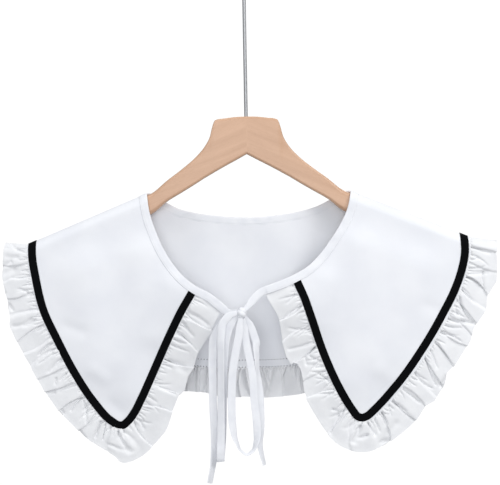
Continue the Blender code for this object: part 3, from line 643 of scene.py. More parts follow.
def run_on(rows, extra):
    """A table whose last row is followed by one more, in the same direction."""
    run = np.subtract(rows[-1], rows[-2])
    return [*rows, tuple(rows[-1] + run / np.hypot(*run) * extra)]


def along_ridge(side, towards_neck):
    """Unit direction along a shoulder in the front view. Side is -1 for the left."""
    out = -1 if towards_neck else 1
    return (side * out * math.cos(SLOPE), -out * math.sin(SLOPE))


def row_lengths(edge, rows):
    """Where rows cross an edge: at even steps of its length plus its bend, each as a share."""
    run = np.diff(edge.curve, axis=0)
    heading = np.unwrap(np.arctan2(run[:, 1], run[:, 0]))
    turned = np.concatenate([[0.0], np.cumsum(np.abs(np.diff(heading)))])
    turned = np.append(turned, turned[-1])
    along = arc_lengths(edge.curve)
    weight = along / along[-1] + BEND_WEIGHT * turned / turned[-1]
    return np.interp(np.linspace(0, 1, rows) * weight[-1], weight, along)


def onto_ridge(flat, rows):
    """Puts these rows of a flat grid on the line that lies on the hanger's ridge."""
    for row in rows:
        flat[row, ..., 1] = unrolled_ridge(flat[row, ..., 0])
    return flat


panel_cloth = poplin("panel_poplin", 0.5 * MM, 34 * MM)
out_left, out_right = (-1.0, LEFT_TOP), (1.0, RIGHT_TOP)
left_edge = Edge(run_on(LEFT_EDGE, LEFT_UNDER_BAND), -1, -1, out_left)
right_edge = Edge(run_on(RIGHT_EDGE, RIGHT_UNDER_BAND), -1, 1, out_right)
left_neck = Edge(LEFT_NECK, -1, -1, along_ridge(-1, False))
right_neck = Edge(RIGHT_NECK, -1, 1, along_ridge(1, False))


def add_panel(node, edge, neck, both_ends, free):
    """A panel: straight lines in the flat from the seam's line to the neck's line, bent over the
    hanger with its drape, and given two faces. Free is how much of the neck's line it leaves."""
    ridge_rows = (0, -1) if both_ends else (0,)
    neck_lengths = np.linspace(0, 1, PANEL_ROWS) * (neck.length - free)
    seam_line = onto_ridge(edge.beside(row_lengths(edge, PANEL_ROWS), -PANEL_SHORT), ridge_rows)
    neck_line = onto_ridge(neck.beside(neck_lengths, BAND_WIDTH - BAND_COVER), ridge_rows)
    share = np.linspace(0, 1, PANEL_COLUMNS)[None, :, None]
    flat = seam_line[:, None] * (1 - share) + neck_line[:, None] * share
    grid = on_hanger(flat, edge.face)
    normals = cloth_normals(grid, edge.face, ridge_rows)
    piece = two_faced(node + "_cloth", grid, normals, CLOTH / 2, flat, panel_cloth)
    hang_on(piece, "poplin", node)


add_panel("front_left", left_edge, left_neck, False, LEFT_NECK_FREE)
add_panel("front_right", right_edge, right_neck, False, RIGHT_NECK_FREE)

# BACK
# One wide rounded panel of the same two layers, which hangs behind the hanger from shoulder to
# shoulder. Its inside shows through the neck, above the bow.
BACK_LENGTH = 120 * MM  # from the unrolled shoulder down to the back seam
BACK_FULLNESS = 2.3  # exponent of its rounded outline
BACK_NECK = (  # across, height
    (-90.6, -2.0),
    (-82.0, -4.8),
    (-71.5, -11.0),
    (-61.0, -16.2),
    (-49.0, -19.4),
    (-26.5, -22.8),
    (0.0, -24.6),
    (26.5, -23.0),
    (52.0, -18.8),
    (62.5, -15.6),
    (73.0, -10.6),
    (84.0, -4.8),
    (93.2, -3.1),
)


def back_edge_rows():
    """The back's outline from the left shoulder round the hem to the right: a half ellipse whose
    cosine and sine are raised to 2 over the fullness."""
    turn = np.radians(np.linspace(0, 180, 25))
    power = 2 / BACK_FULLNESS
    level = (unrolled_ridge(COLLAR_HALF) - NECK_LEVEL) / MM
    across = -COLLAR_HALF / MM * np.sign(np.cos(turn)) * np.abs(np.cos(turn)) ** power
    height = level - BACK_LENGTH / MM * np.sin(turn) ** power
    return np.column_stack([across, height])


back_edge = Edge(back_edge_rows(), 1, -1, out_left, out_right)
back_neck = Edge(BACK_NECK, 1, -1, along_ridge(-1, False), along_ridge(1, False))
add_panel("back", back_edge, back_neck, True, 0.0)

# RUFFLES
# A strip of single poplin with a narrow turned hem, gathered by a pulled thread and sewn between
# the panels' two layers. Its folds lap over each other this way and that, as gathers do.

# Each row is a fold's edge: where along the seam it leaves the seam and meets the hem, a lap of 1
# where the cloth before it lies over the cloth after it and -1 where it lies under, and its depth
# as a share of GATHER_DEPTH.
LEFT_GATHERS = (  # at seam, at hem, lap, depth
    (10.0, 8.0, 1, 0.7),
    (21.0, 21.0, 1, 0.8),
    (34.0, 35.0, -1, 0.6),
    (48.0, 49.0, 1, 0.9),
    (65.0, 63.0, -1, 1.0),
    (78.0, 82.0, 1, 0.9),
    (92.0, 94.0, -1, 0.8),
    (104.0, 108.0, -1, 1.1),
    (121.0, 119.0, 1, 0.8),
    (138.0, 131.0, 1, 1.0),
    (153.0, 151.0, 1, 1.1),
    (169.0, 173.0, 1, 0.9),
    (180.0, 184.0, 1, 0.8),
    (190.0, 194.0, -1, 1.2),
    (200.0, 201.5, 1, 0.7),
    (212.0, 209.0, 1, 1.1),
    (229.0, 235.0, 1, 1.2),
    (249.0, 251.0, 1, 1.1),
    (274.0, 278.0, 1, 1.3),
    (299.0, 293.0, 1, 1.1),
    (320.0, 317.0, 1, 1.2),
)
RIGHT_GATHERS = (  # at seam, at hem, lap, depth
    (14.0, 18.0, 1, 1.0),
    (27.0, 31.0, 1, 0.6),
    (40.0, 49.0, 1, 1.3),
    (53.0, 61.0, -1, 0.8),
    (63.0, 74.0, 1, 1.2),
    (78.0, 85.0, 1, 0.7),
    (94.0, 95.0, 1, 0.9),
    (106.0, 116.0, 1, 1.2),
    (122.0, 134.0, 1, 1.2),
    (140.0, 145.0, -1, 0.7),
    (155.0, 156.0, 1, 0.8),
    (169.0, 170.0, 1, 1.1),
    (184.0, 194.0, 1, 1.2),
    (198.0, 201.0, -1, 0.9),
    (208.0, 207.0, 1, 0.8),
    (226.0, 215.0, 1, 1.1),
    (243.0, 249.0, 1, 1.2),
    (264.0, 263.0, -1, 0.6),
    (286.0, 280.0, 1, 1.3),
    (306.0, 300.0, 1, 0.6),
    (325.0, 319.0, 1, 1.2),
)
BACK_GATHERS = (  # spacing, lap, depth; they follow each other again and again
    (16.0, 1, 1.0),
    (11.0, 1, 0.7),
    (20.0, -1, 1.1),
    (13.0, 1, 0.8),
    (17.0, 1, 1.0),
    (10.0, -1, 0.7),
    (19.0, 1, 1.1),
    (14.0, -1, 0.9),
    (22.0, 1, 1.0),
)
LEFT_HEM = (  # where along the seam, and the hem's distance from it there
    (0, 19.5), (21, 22), (29, 25), (49, 24), (63, 26), (69, 28.6), (90, 28.6), (108, 27.6),
    (131, 27.6), (151, 26), (168, 23.4), (176, 22), (185, 21.5), (194, 21), (196.5, 27.5),
    (199, 29.2), (202, 28.4), (209, 27), (220, 28.6), (234, 26), (250, 25), (256, 28.4), (270, 26),
    (279, 28), (290, 25.6), (316, 28.4), (341, 26), (360, 26),
)
RIGHT_HEM = (
    (0, 20.5), (10, 24.6), (18, 23), (38, 27.6), (49, 23.4), (61, 27.6), (73, 25), (81, 25),
    (89, 27.6), (117, 26), (123, 24), (133, 28.6), (148, 29.4), (155, 26), (171, 28), (196, 25.4),
    (215, 27), (246, 27), (256, 25.5), (265, 22), (273, 20.5), (277, 21), (281, 27), (286, 28.5),
    (299, 27.6), (312, 25), (319, 23.6), (345, 26), (360, 26),
)
BACK_HEM = (  # the same, from the middle of the back
    (-262, 19), (-250, 23.5), (-238, 26), (-74, 26), (-64, 23.2), (-40, 22.6), (-30, 25.4),
    (-22, 26.6), (-6, 26), (14, 27), (36, 26.4), (52, 25.2), (262, 26),
)
FRILL_EASE = 40 * MM  # distance from its free end over which the gathers reach their depth
FRILL = 0.6 * MM  # thickness
TURNED_HEM = 0.93  # from this share of the width on, the cloth is turned under and thicker
FRILL_UNDER = 1.0 * MM  # how far it reaches into the panel's edge
LEFT_FRILL_END = (6 * MM, 9 * MM)  # how far it runs on under the binding, at seam and hem
RIGHT_FRILL_END = (4 * MM, 3 * MM)
RUN_ON = 12.0  # mm by which a front ruffle's seam is drawn on past the panel's end
BEHIND_BAND = 1.1 * MM  # how far its free end lies further back, behind the binding
BEHIND_BAND_FROM = 12 * MM
GATHER_DEPTH = 2.1 * MM
SEAM_SHARE = 0.25  # share of the gathers' depth at the seam
LIP = 0.9 * MM  # half width of a fold's edge
FOLD_REACH = 11 * MM  # how far a fold reaches from its edge on the upper side
LOW_REACH = 6 * MM  # and on the lower side
LOW_SHARE = 0.55  # depth of the lower side, as a share of the upper
FOLD_BOW = 2.2 * MM  # how far a fold's edge bows along the seam
TUCK = 1.8 * MM  # how far a deep fold laps over the next one
TUCK_FROM = 0.7  # folds no deeper than this don't lap
TUCK_WIDTH = 2.4 * MM
HAND_CREASE = 2.2 * MM  # depth of the listed creases
HAND_CREASE_FADE = 0.45  # share of it that is lost towards its second end
CREASE = 1.3 * MM  # depth of the crease under a fold's edge
CREASE_WIDTH = 0.95 * MM
CREASE_REACH = 0.75  # share of the width at which it has faded
CREASE_UNEVEN = 0.45  # how much that share varies from fold to fold
CREASE_PAST = 0.9 * MM  # from the edge to the crease
CREASE_HEM = 0.2  # share of it that is left at the hem
HEM_STEP = 0.15  # how far the hem moves out at a fold, as a share of its depth
HEM_SOFTER = 0.45  # share of the gathers' depth that is lost towards the hem
NECK_DEPTH = 0.5  # share of the gathers' depth at the free end
FRILL_COLUMNS = 30
FRONT_FOLD_ROWS = 50  # rows of points from one fold to the next
BACK_FOLD_ROWS = 38
GATHERED_FROM = 0.9 * MM  # out from the seam, over which puff, creases and puckers begin
GATHERED_CLEAR = 6 * MM  # and from the shoulder
PUFF = 1.2 * MM  # how far the gathered cloth stands up beside the seam
PUFF_START = 1.3 * MM
PUFF_END = 12 * MM
PUCKER_STEP = 2.9 * MM  # from one to the next, on average
PUCKER_LEAN = 0.3  # most that one leans or bends along the seam, for each step out
PUCKERS = (  # share of all, length from and to, depth from and to, half width from and to
    (0.48, 2.5, 5.0, 1.10, 1.80, 0.44, 0.60),
    (0.33, 5.0, 10.0, 1.30, 2.20, 0.52, 0.80),
    (0.19, 11.0, 19.0, 1.50, 2.60, 0.65, 1.05),
)
BACK_PUCKERS = (
    (0.36, 3.0, 6.0, 1.60, 2.40, 0.46, 0.62),
    (0.30, 7.0, 14.0, 2.20, 3.20, 0.65, 1.00),
    (0.34, 18.0, 40.0, 3.00, 4.60, 0.90, 1.60),
)
FRILL_WHITE = (0.835, 0.84, 0.852)  # one layer, through which the white is less blue
# painted shade: the darker colour given to the low places of the frill's crumple noise
FRILL_PAINTED_SHADE = (0.79, 0.796, 0.812)
LEFT_CREASES = (  # from along the seam, from out, to along, to out, bow, depth, half width
    (6, 14, 9, 10, 0, 0.9, 1.6),
    (10, 8, 12, 3, 0.3, 0.9, 1.2),
    (16, 9, 15, 18, 0.5, 0.6, 1.8),
    (19, 15, 21, 21, 0, 0.8, 1.8),
    (25, 14, 27, 21, 0, 0.7, 2.6),
    (28, 2, 28, 6, 0, 0.8, 0.9),
    (48, 5, 43, 12, -1.0, 0.9, 1.1),
    (44, 25, 39, 26, 0, 0.7, 1.2),
    (54, 24, 59, 22, 0, 1.0, 1.3),
    (70, 9, 70, 26, 1.5, 0.8, 1.6),
    (72, 6, 73, 17, 0.8, 0.9, 1.2),
    (79, 1, 79, 7, 0, 1.0, 0.9),
    (97, 2, 101, 16, -0.8, 1.2, 1.3),
    (105, 5, 107, 20, 0.6, 0.7, 1.4),
    (114, 1, 118, 15, 0, 0.9, 2.0),
    (126, 13, 130, 16, 0, 0.9, 0.8),
    (127, 3, 129, 10, 0, 0.9, 0.9),
    (136, 4, 137, 16, 0, 0.6, 1.4),
    (136, 21, 132, 27, 0, 0.5, 1.2),
    (153, 3, 156, 17, -0.6, 1.3, 0.9),
    (154, 24, 150, 25, 0, 0.8, 1.0),
    (156, 3, 167, 10, 0.5, 0.9, 1.1),
    (162, 4, 172, 13, 0, 0.8, 1.1),
    (179, 3, 184, 16, 0.4, 1.2, 0.9),
    (184, 2, 190, 14, 0, 1.1, 0.8),
    (173, 22, 179, 22, 0, 0.9, 1.0),
    (196, 2, 201, 21, 0.6, 1.5, 1.0),
    (201, 2, 200, 7, 0, 1.0, 0.7),
    (194, 15, 200, 18, 0, 0.8, 1.3),
    (211, 2, 209, 27, -2.0, 1.2, 1.0),
    (216, 4, 213, 11, 0, 1.1, 1.0),
    (235, 14, 235, 25, 0, 0.8, 1.2),
    (239, 1, 237, 9, 0, 1.0, 0.9),
    (249, 7, 249, 22, 0, 1.0, 1.0),
    (270, 2, 270, 9, 0, 0.8, 1.0),
    (273, 16, 272, 22, 0, 0.6, 2.6),
    (275, 5, 277, 19, 0, 0.9, 1.8),
    (295, 2, 295, 8, 0, 0.8, 0.9),
    (302, 2, 294, 23, 0.8, 1.3, 1.1),
    (312, 3, 305, 15, -0.5, 1.0, 1.3),
    (317, 3, 317, 9, 0, 0.9, 0.9),
    (322, 3, 321, 22, 1.2, 1.1, 1.6),
)
RIGHT_CREASES = (
    (14, 1, 19, 18, 0.8, 0.9, 1.0),
    (36, 2, 33, 17, 0, 0.8, 1.6),
    (42, 2, 48, 20, -1.5, 1.2, 1.0),
    (34, 14, 45, 19, 1.2, 1.1, 1.1),
    (54, 1, 60, 15, 0, 1.1, 0.9),
    (61, 2, 74, 18, 1.5, 1.4, 1.0),
    (74, 6, 72, 4, 0, 1.5, 1.4),
    (82, 1, 78, 15, 1.5, 1.3, 1.0),
    (78, 13, 74, 25, 0.5, 1.2, 1.6),
    (88, 1, 84, 14, 1.2, 1.0, 1.0),
    (94, 2, 94, 20, -0.5, 1.1, 0.8),
    (106, 1, 115, 27, 0, 1.1, 1.1),
    (114, 0, 124, 14, 0, 0.9, 1.1),
    (122, 0, 137, 22, 0.8, 1.2, 0.9),
    (135, 27, 127, 26, 0, 1.6, 1.8),
    (138, 0, 141, 21, 2.2, 1.0, 1.1),
    (157, 2, 157, 20, 0, 1.0, 1.1),
    (170, 7, 171, 27, 0, 0.8, 1.6),
    (176, 1, 176, 6, 0, 1.1, 0.8),
    (183, 17, 192, 19, 0, 0.6, 3.0),
    (185, 2, 187, 12, 0, 1.3, 1.0),
    (194, 2, 196, 13, 0, 1.1, 0.9),
    (197, 22, 196, 26, 0, 1.0, 1.3),
    (200, 2, 199, 14, 0, 1.6, 0.9),
    (203, 12, 205, 14, 0, 1.3, 1.2),
    (206, 4, 207, 19, 0, 1.5, 1.2),
    (223, 10, 215, 24, 0, 1.1, 1.6),
    (230, 11, 227, 8, 0, 1.0, 1.0),
    (242, 4, 249, 26, 0.9, 0.9, 1.1),
    (253, 2, 264, 8, 0.3, 1.1, 0.9),
    (269, 3, 273, 11, 0, 0.6, 1.4),
    (273, 2, 280, 9, 0, 0.9, 1.1),
    (286, 2, 280, 13, 0, 1.3, 1.0),
    (280, 13, 275, 14, 0, 1.2, 1.5),
    (291, 2, 292, 24, -0.8, 0.9, 1.4),
    (303, 2, 310, 18, -0.8, 0.7, 1.2),
    (325, 2, 319, 24, 0.6, 1.3, 1.1),
    (337, 3, 333, 12, 0, 0.8, 1.2),
)

frill_cloth = poplin("frill_poplin", 0.5 * MM, 12 * MM, FRILL_WHITE, FRILL_PAINTED_SHADE)


def back_gathers(length):
    """The back's rows of folds: its table's spacings in turn, stretched to fill the seam."""
    pattern = np.array(BACK_GATHERS)
    count = int(round(length / MM / pattern[:, 0].mean())) - 1
    rows = pattern[np.arange(count) % len(pattern)]
    place = np.cumsum(rows[:, 0])
    place *= length / MM / (place[-1] + pattern[count % len(pattern), 0])
    return np.column_stack([place, place, rows[:, 1:]])


def folded(table, ends, rows, points):
    """Distances along the seam of a ruffle's points, how far the cloth stands out there, and how
    far it moves along the seam. Beside each fold's edge, at a distance x, it stands out by
    tanh(x / lip) exp(-|x| / reach), less far and less deep on the lower side, and at a deep fold
    it moves by x exp(-x^2) and doubles back. Last comes the crease just past the edge, a bell of
    x that fades towards the hem."""
    seam_at, hem_at, lap, depth = np.array(table, float).T
    edges = (seam_at[:, None] * (1 - rows) + hem_at[:, None] * rows) * MM
    bow = FOLD_BOW * np.sin(2.4 * np.arange(len(seam_at)))[:, None]
    last = ends[0] * (1 - rows) + ends[1] * rows
    bounds = np.vstack([np.zeros_like(rows), edges + bow * 4 * rows * (1 - rows), last])
    even = np.linspace(0, 1, points, endpoint=False)[:, None]
    part = 0.5 * even + 0.25 * (1 - np.cos(np.pi * even))
    between = bounds[:-1, None] * (1 - part) + bounds[1:, None] * part
    places = np.vstack([between.reshape(-1, len(rows)), bounds[-1:]])
    past = places[:, None] - bounds[None, 1:-1]
    low = past * lap[None, :, None] > 0
    fold_reach = np.where(low, LOW_REACH, FOLD_REACH)
    beside = np.tanh(past / LIP) * np.exp(-np.abs(past) / fold_reach) * np.where(low, LOW_SHARE, 1.0)
    stand = (beside * (lap * depth)[None, :, None]).sum(axis=1)
    tucked = past / TUCK_WIDTH * np.exp(0.5 - (past / TUCK_WIDTH) ** 2) * math.sqrt(2)
    tuck_depth = lap * np.clip(depth - TUCK_FROM, 0, None) / TUCK_FROM
    moved = (tucked * tuck_depth[None, :, None]).sum(axis=1)
    crease = np.exp(-(((past - CREASE_PAST * lap[None, :, None]) / CREASE_WIDTH) ** 2))
    uneven = 1 + CREASE_UNEVEN * np.sin(1.9 * np.arange(len(seam_at)))
    fade = ease(rows[None, None] / (CREASE_REACH * uneven)[None, :, None])
    crease *= 1 - (1 - CREASE_HEM) * fade
    return places, -stand, -moved, (crease * depth[None, :, None]).max(axis=1)


def puckers(along, distance, length, table, seed):
    """Small troughs that start at the seam, uneven in place, lean, length, depth and width. Each
    is a bell across its own line, and runs out towards its end."""
    draw = np.random.default_rng(seed)
    count = int(length / PUCKER_STEP)
    place = (np.arange(count) + 0.5 + draw.uniform(-0.4, 0.4, count)) * length / count
    kind = np.searchsorted(np.cumsum([row[0] for row in table])[:-1], draw.random(count))
    ranges = np.array(table)[kind]
    size = draw.random(count)
    reach, depth, half = (ranges[:, i] + (ranges[:, i + 1] - ranges[:, i]) * size for i in (1, 3, 5))
    lean, bend = draw.uniform(-PUCKER_LEAN, PUCKER_LEAN, (2, count))
    total = np.zeros_like(along)
    for i in range(count):
        out = distance / (reach[i] * MM)
        line = place[i] + (lean[i] + bend[i] * np.clip(out, 0, 1)) * distance
        bell = np.exp(-(((along - line) / (half[i] * MM)) ** 2))
        total -= depth[i] * MM * bell * np.clip(1 - out, 0, 1) ** 0.7
    return total


def hand_creases(along, distance, table):
    """The creases of a table: each is a bell across its own bowed line, which runs out beyond its
    two ends and grows shallower towards the second."""
    total = np.zeros_like(along)
    for from_along, from_out, to_along, to_out, bow, depth, half in table:
        run = np.array([to_along - from_along, to_out - from_out]) * MM
        length = np.hypot(*run)
        past, out = along - from_along * MM, distance - from_out * MM
        share = (past * run[0] + out * run[1]) / length**2
        inside = np.clip(share, 0, 1)
        off = (past * run[1] - out * run[0]) / length - bow * MM * 4 * inside * (1 - inside)
        away = np.hypot(off, (share - inside) * length)
        bell = np.exp(-((away / (half * MM)) ** 2))
        total += HAND_CREASE * depth * bell * (1 - HAND_CREASE_FADE * inside)
    return total


def add_ruffle(node, edge, table, hem, creases, troughs, both_ends, ends, points, seed, rests_on):
    """The strip: straight out from the seam in the flat, folded by its table, bent over the
    hanger with the drape, and moved out by its folds and in by its creases and puckers."""
    share = np.linspace(0, 1, FRILL_COLUMNS) ** 1.15
    places, stand, tucked, crease = folded(table, ends, share, points)
    near = np.minimum(places, ends[1] - places) if both_ends else places
    at_end = np.ones_like(places) if both_ends else ease((ends[1] - places) / FRILL_EASE)
    stand = stand * ease(near / EASE) * (NECK_DEPTH + (1 - NECK_DEPTH) * at_end)
    hem_from = ends[1] / 2 if both_ends else 0.0
    width = np.interp((places[:, -1:] - hem_from) / MM, *np.array(hem, float).T) * MM
    plain = -FRILL_UNDER + (width + FRILL_UNDER) * share
    rise = np.clip(plain / width, 0, 1)
    moved = TUCK * tucked * ease(near / EASE) * rise**0.7
    along = np.clip(places + moved, 0, None)
    distance = plain + HEM_STEP * GATHER_DEPTH * stand * rise**2
    ridge_rows = (0, -1) if both_ends else (0,)
    plain_side, folded_side = (
        np.stack([edge.beside(run[:, i], away[:, i]) for i in range(FRILL_COLUMNS)], axis=1)
        for run, away in ((places, plain), (along, distance))
    )
    onto_ridge(plain_side, ridge_rows)
    onto_ridge(folded_side, ridge_rows)
    normals = cloth_normals(on_hanger(plain_side, edge.face), edge.face, ridge_rows)
    swell = GATHER_DEPTH * stand * (SEAM_SHARE + (1 - SEAM_SHARE) * rise**0.8)
    swell *= 1 - HEM_SOFTER * ease((rise - 0.5) / 0.5)
    clear = np.clip(plain, 0, None)
    puff = PUFF * (1 - np.exp(-clear / PUFF_START)) * np.exp(-clear / PUFF_END)
    gathered = puff - CREASE * crease + puckers(places, clear, ends[1], troughs, seed)
    gathered -= hand_creases(places, clear, creases)
    swell = swell + gathered * ease(plain / GATHERED_FROM) * ease(near / GATHERED_CLEAR)
    grid = on_hanger(folded_side, edge.face) + normals * swell[..., None]
    if not both_ends:
        grid[..., 1] += BEHIND_BAND * (1 - ease((ends[0] - places) / BEHIND_BAND_FROM))
    outer = cloth_normals(grid, edge.face, ridge_rows)
    half = FRILL / 2 * (1 + 0.5 * ease((share - TURNED_HEM) * 60))
    lengths = arc_lengths(grid[:, FRILL_COLUMNS // 2])
    uv = np.stack(np.broadcast_arrays(lengths[:, None], plain), -1)
    piece = two_faced(node + "_cloth", grid, outer, half, uv, frill_cloth)
    hang_on(piece, "poplin", node)


left_folds = (LEFT_GATHERS, LEFT_HEM, LEFT_CREASES, PUCKERS)
right_folds = (RIGHT_GATHERS, RIGHT_HEM, RIGHT_CREASES, PUCKERS)
for side, hand, outward, rows, folds, past, seed in (
    ("left", -1, out_left, LEFT_EDGE, left_folds, LEFT_FRILL_END, 11),
    ("right", 1, out_right, RIGHT_EDGE, right_folds, RIGHT_FRILL_END, 12),
):
    longer = Edge(run_on(rows, RUN_ON), -1, hand, outward)
    ends = [longer.length - RUN_ON * MM + extra for extra in past]
    resting = "front_" + side + "_cloth"
    add_ruffle("ruffle_" + side, longer, *folds, False, ends, FRONT_FOLD_ROWS, seed, resting)
back_ends = (back_edge.length, back_edge.length)
back_folds = (back_gathers(back_edge.length), BACK_HEM, (), BACK_PUCKERS)
add_ruffle("ruffle_back", back_edge, *back_folds, True, back_ends, BACK_FOLD_ROWS, 13, "back_cloth")

# TRIM
# A flat black woven ribbon, sewn on the panels just inside the ruffles' seam. It has a fine cross
# rib and two plain selvedges, and turns the tips in one smooth bend.
TRIM_WIDTH = 7.1 * MM
TRIM_ROWS = 420
RIBBON = 0.45 * MM  # thickness
RIBBON_GAP = 0.05 * MM  # from the panel's face to the ribbon's
LEFT_INSET = ((0, 1.0), (60, 0.9), (120, 0.5), (340, 0.3))  # along the seam, seam to ribbon, mm
RIGHT_INSET = ((0, 1.3), (60, 1.6), (120, 2.5), (180, 2.1), (215, 0.0), (250, 0.2), (350, 0.4))
BACK_INSET = ((0, 0.4), (1, 0.4))
RIBBON_BLACK = (0.0022, 0.0024, 0.003)
RIBBON_RIB = (0.0045, 0.0048, 0.0056)
RIB_SCALE = 450.0  # ribs 0.7 mm apart

ribbon_cloth, node, shader = new_finish("ribbon_weave")
place = node("TexCoord")
ribs = node("TexWave", (("bands_direction", "X"),), Vector=place.outputs["UV"], Scale=RIB_SCALE)
rib_colour = ramp(node, ribs.outputs["Fac"], (0.0, RIBBON_BLACK), (1.0, RIBBON_RIB))
rib_bump = node("Bump", Strength=0.5, Distance=0.12 * MM, Height=ribs.outputs["Fac"])
shader(Base_Color=rib_colour, Normal=rib_bump.outputs[0], Roughness=0.85, Specular_IOR_Level=0.04)


def add_trim(node, edge, insets, both_ends):
    """The ribbon: lines at even distances inside the seam, bent with the panel and moved out to
    lie on it, its thickness drawn in at the two selvedges."""
    ridge_rows = (0, -1) if both_ends else (0,)
    share = np.linspace(0, 1, 9)
    distances = TRIM_WIDTH * share
    lengths = row_lengths(edge, TRIM_ROWS)
    inset = np.interp(lengths / MM, *np.array(insets, float).T) * MM
    flat = np.stack([edge.beside(lengths, -inset - away) for away in distances], axis=1)
    grid = on_hanger(onto_ridge(flat, ridge_rows), edge.face)
    normals = cloth_normals(grid, edge.face, ridge_rows)
    half = RIBBON / 2 * (1 - 0.35 * np.abs(2 * share - 1) ** 6)
    middle = grid + normals * (CLOTH / 2 + RIBBON / 2 + RIBBON_GAP)
    uv = np.stack(np.broadcast_arrays(lengths[:, None], distances), -1)
    piece = two_faced(node + "_ribbon", middle, normals, half, uv, ribbon_cloth)
    hang_on(piece, "ribbon", node)


add_trim("trim_left", left_edge, LEFT_INSET, False)
add_trim("trim_right", right_edge, RIGHT_INSET, False)
add_trim("trim_back", back_edge, BACK_INSET, True)

# STITCHES
# The ribbon's two rows of black thread come through to the inside of the panels, where each
# stitch shows as a small dash. They show on the inside of the back, under the neck.
STITCH_STEP = 2.7 * MM
STITCH_LENGTH = 0.8 * MM
STITCH_RADIUS = 0.34 * MM
STITCH_INSETS = (0.6 * MM, 6.9 * MM)  # from the seam to each row
STITCH_CLEAR = 4 * MM  # from the seam's ends to the first and last stitch
STITCH_SIDES = 6

thread, node, shader = new_finish("black_thread")
place = node("TexCoord")
twist = node(
    "TexWave", (("bands_direction", "DIAGONAL"),), Vector=place.outputs["Object"], Scale=900.0
)
twist_bump = node("Bump", Strength=0.4, Distance=0.05 * MM, Height=twist.outputs["Fac"])
shader(Base_Color=(0.09, 0.09, 0.1, 1.0), Normal=twist_bump.outputs[0], Roughness=0.8)


def add_stitches(name, edge):
    """Rows of dashes: each is a six sided spindle along the seam's direction, half sunk in the
    inner face. All are worked out as one array of stitch by ring by corner."""
    lengths = np.arange(STITCH_CLEAR, edge.length - STITCH_CLEAR, STITCH_STEP)
    rows = []
    for inset in STITCH_INSETS:
        middle = on_hanger(edge.beside(lengths, -inset), edge.face)
        ahead = on_hanger(edge.beside(lengths + MM, -inset), edge.face)
        inward = on_hanger(edge.beside(lengths, -inset - MM), edge.face)
        run = (ahead - middle) / np.linalg.norm(ahead - middle, axis=1)[:, None]
        side = (inward - middle) / np.linalg.norm(inward - middle, axis=1)[:, None]
        normal = np.cross(run, side)
        outward = np.sign((normal[:, 1] * edge.face).sum())
        normal *= outward / np.linalg.norm(normal, axis=1)[:, None]
        inner = middle - normal * CLOTH / 2
        rows.append(np.stack([inner, run, np.cross(normal, run), normal], axis=1))
    spots = np.concatenate(rows)
    along = np.array([-0.5, -0.36, 0.36, 0.5])[:, None] * STITCH_LENGTH
    round_turn = np.arange(STITCH_SIDES) / STITCH_SIDES * 2 * np.pi
    swell = np.array([0.25, 1.0, 1.0, 0.25])[:, None] * STITCH_RADIUS
    points = (
        spots[:, None, None, 0]
        + spots[:, None, None, 1] * along[None, :, :, None]
        + spots[:, None, None, 2] * (swell * np.cos(round_turn))[None, :, :, None]
        + spots[:, None, None, 3] * (swell * np.sin(round_turn))[None, :, :, None]
    )
    index = np.arange(points[..., 0].size).reshape(points.shape[:3])
    around = np.concatenate([index, index[:, :, :1]], axis=2)
    corners = (around[:, :-1, :-1], around[:, :-1, 1:], around[:, 1:, 1:], around[:, 1:, :-1])
    sides = np.stack(corners, -1).reshape(-1, 4).tolist()
    caps = index[:, 0, ::-1].tolist() + index[:, -1].tolist()
    hang_on(add_mesh(name, points, sides + caps, thread), "ribbon")


for name, edge in (("left", left_edge), ("right", right_edge), ("back", back_edge)):
    add_stitches("stitches_" + name, edge)

# BINDING
# A bias strip of poplin folded over the neck's raw edge and stitched down near its lower fold. Its
# two ends run on past the lapels and become the ties.
BAND = 2.0 * MM  # thickness over both layers and the panel
BAND_LIFT = 0.25 * MM
BAND_COLUMNS = 31
STITCH_FROM_FOLD = 1.3 * MM
STITCH_GROOVE = 0.16 * MM  # depth of the line that the stitches draw in
STITCH_GROOVE_HALF = 0.35 * MM
RIPPLE = 0.16 * MM  # height of the small ripples between the stitches

band_cloth = poplin("band_poplin", 0.3 * MM, 8 * MM)
band_share = np.linspace(0, 1, BAND_COLUMNS)
band_across = band_share * BAND_WIDTH
strips = []
for edge, count in ((left_neck, 150), (back_neck, 190), (right_neck, 150)):
    band_lengths = np.linspace(0, edge.length, count)
    lines = [on_hanger(edge.beside(band_lengths, away), edge.face) for away in band_across]
    strips.append(np.stack(lines, axis=1))
band_grid = np.concatenate([strips[0][::-1], strips[1][1:-1], strips[2]])
band_normals = np.cross(np.gradient(band_grid, axis=0), np.gradient(band_grid, axis=1))
band_normals /= np.linalg.norm(band_normals, axis=-1, keepdims=True)
if band_normals[0, 0, 1] > 0:
    band_normals = -band_normals
band_along = arc_lengths(band_grid.mean(axis=1))
band_half = BAND / 2 * np.clip(1 - np.abs(2 * band_share - 1) ** 7, 0.05, 1) ** 0.5
from_stitches = BAND_WIDTH - STITCH_FROM_FOLD - band_across
band_half = band_half - STITCH_GROOVE * np.exp(-((from_stitches / STITCH_GROOVE_HALF) ** 2))
waves = np.sin(band_along / (2.6 * MM) + 2 * np.sin(band_along / (19 * MM)))
waves = waves * (0.4 + 0.6 * np.sin(band_along / (41 * MM) + 0.7) ** 2)
ripple = RIPPLE * waves[:, None] * (band_share - band_share**2) * 4
band_middle = band_grid + band_normals * (BAND_LIFT + ripple)[..., None]
band_uv = np.stack(np.broadcast_arrays(band_along[:, None], band_across), -1)
binding = two_faced("neck_binding_cloth", band_middle, band_normals, band_half, band_uv, band_cloth)
hang_on(binding, "poplin", "neck_binding")

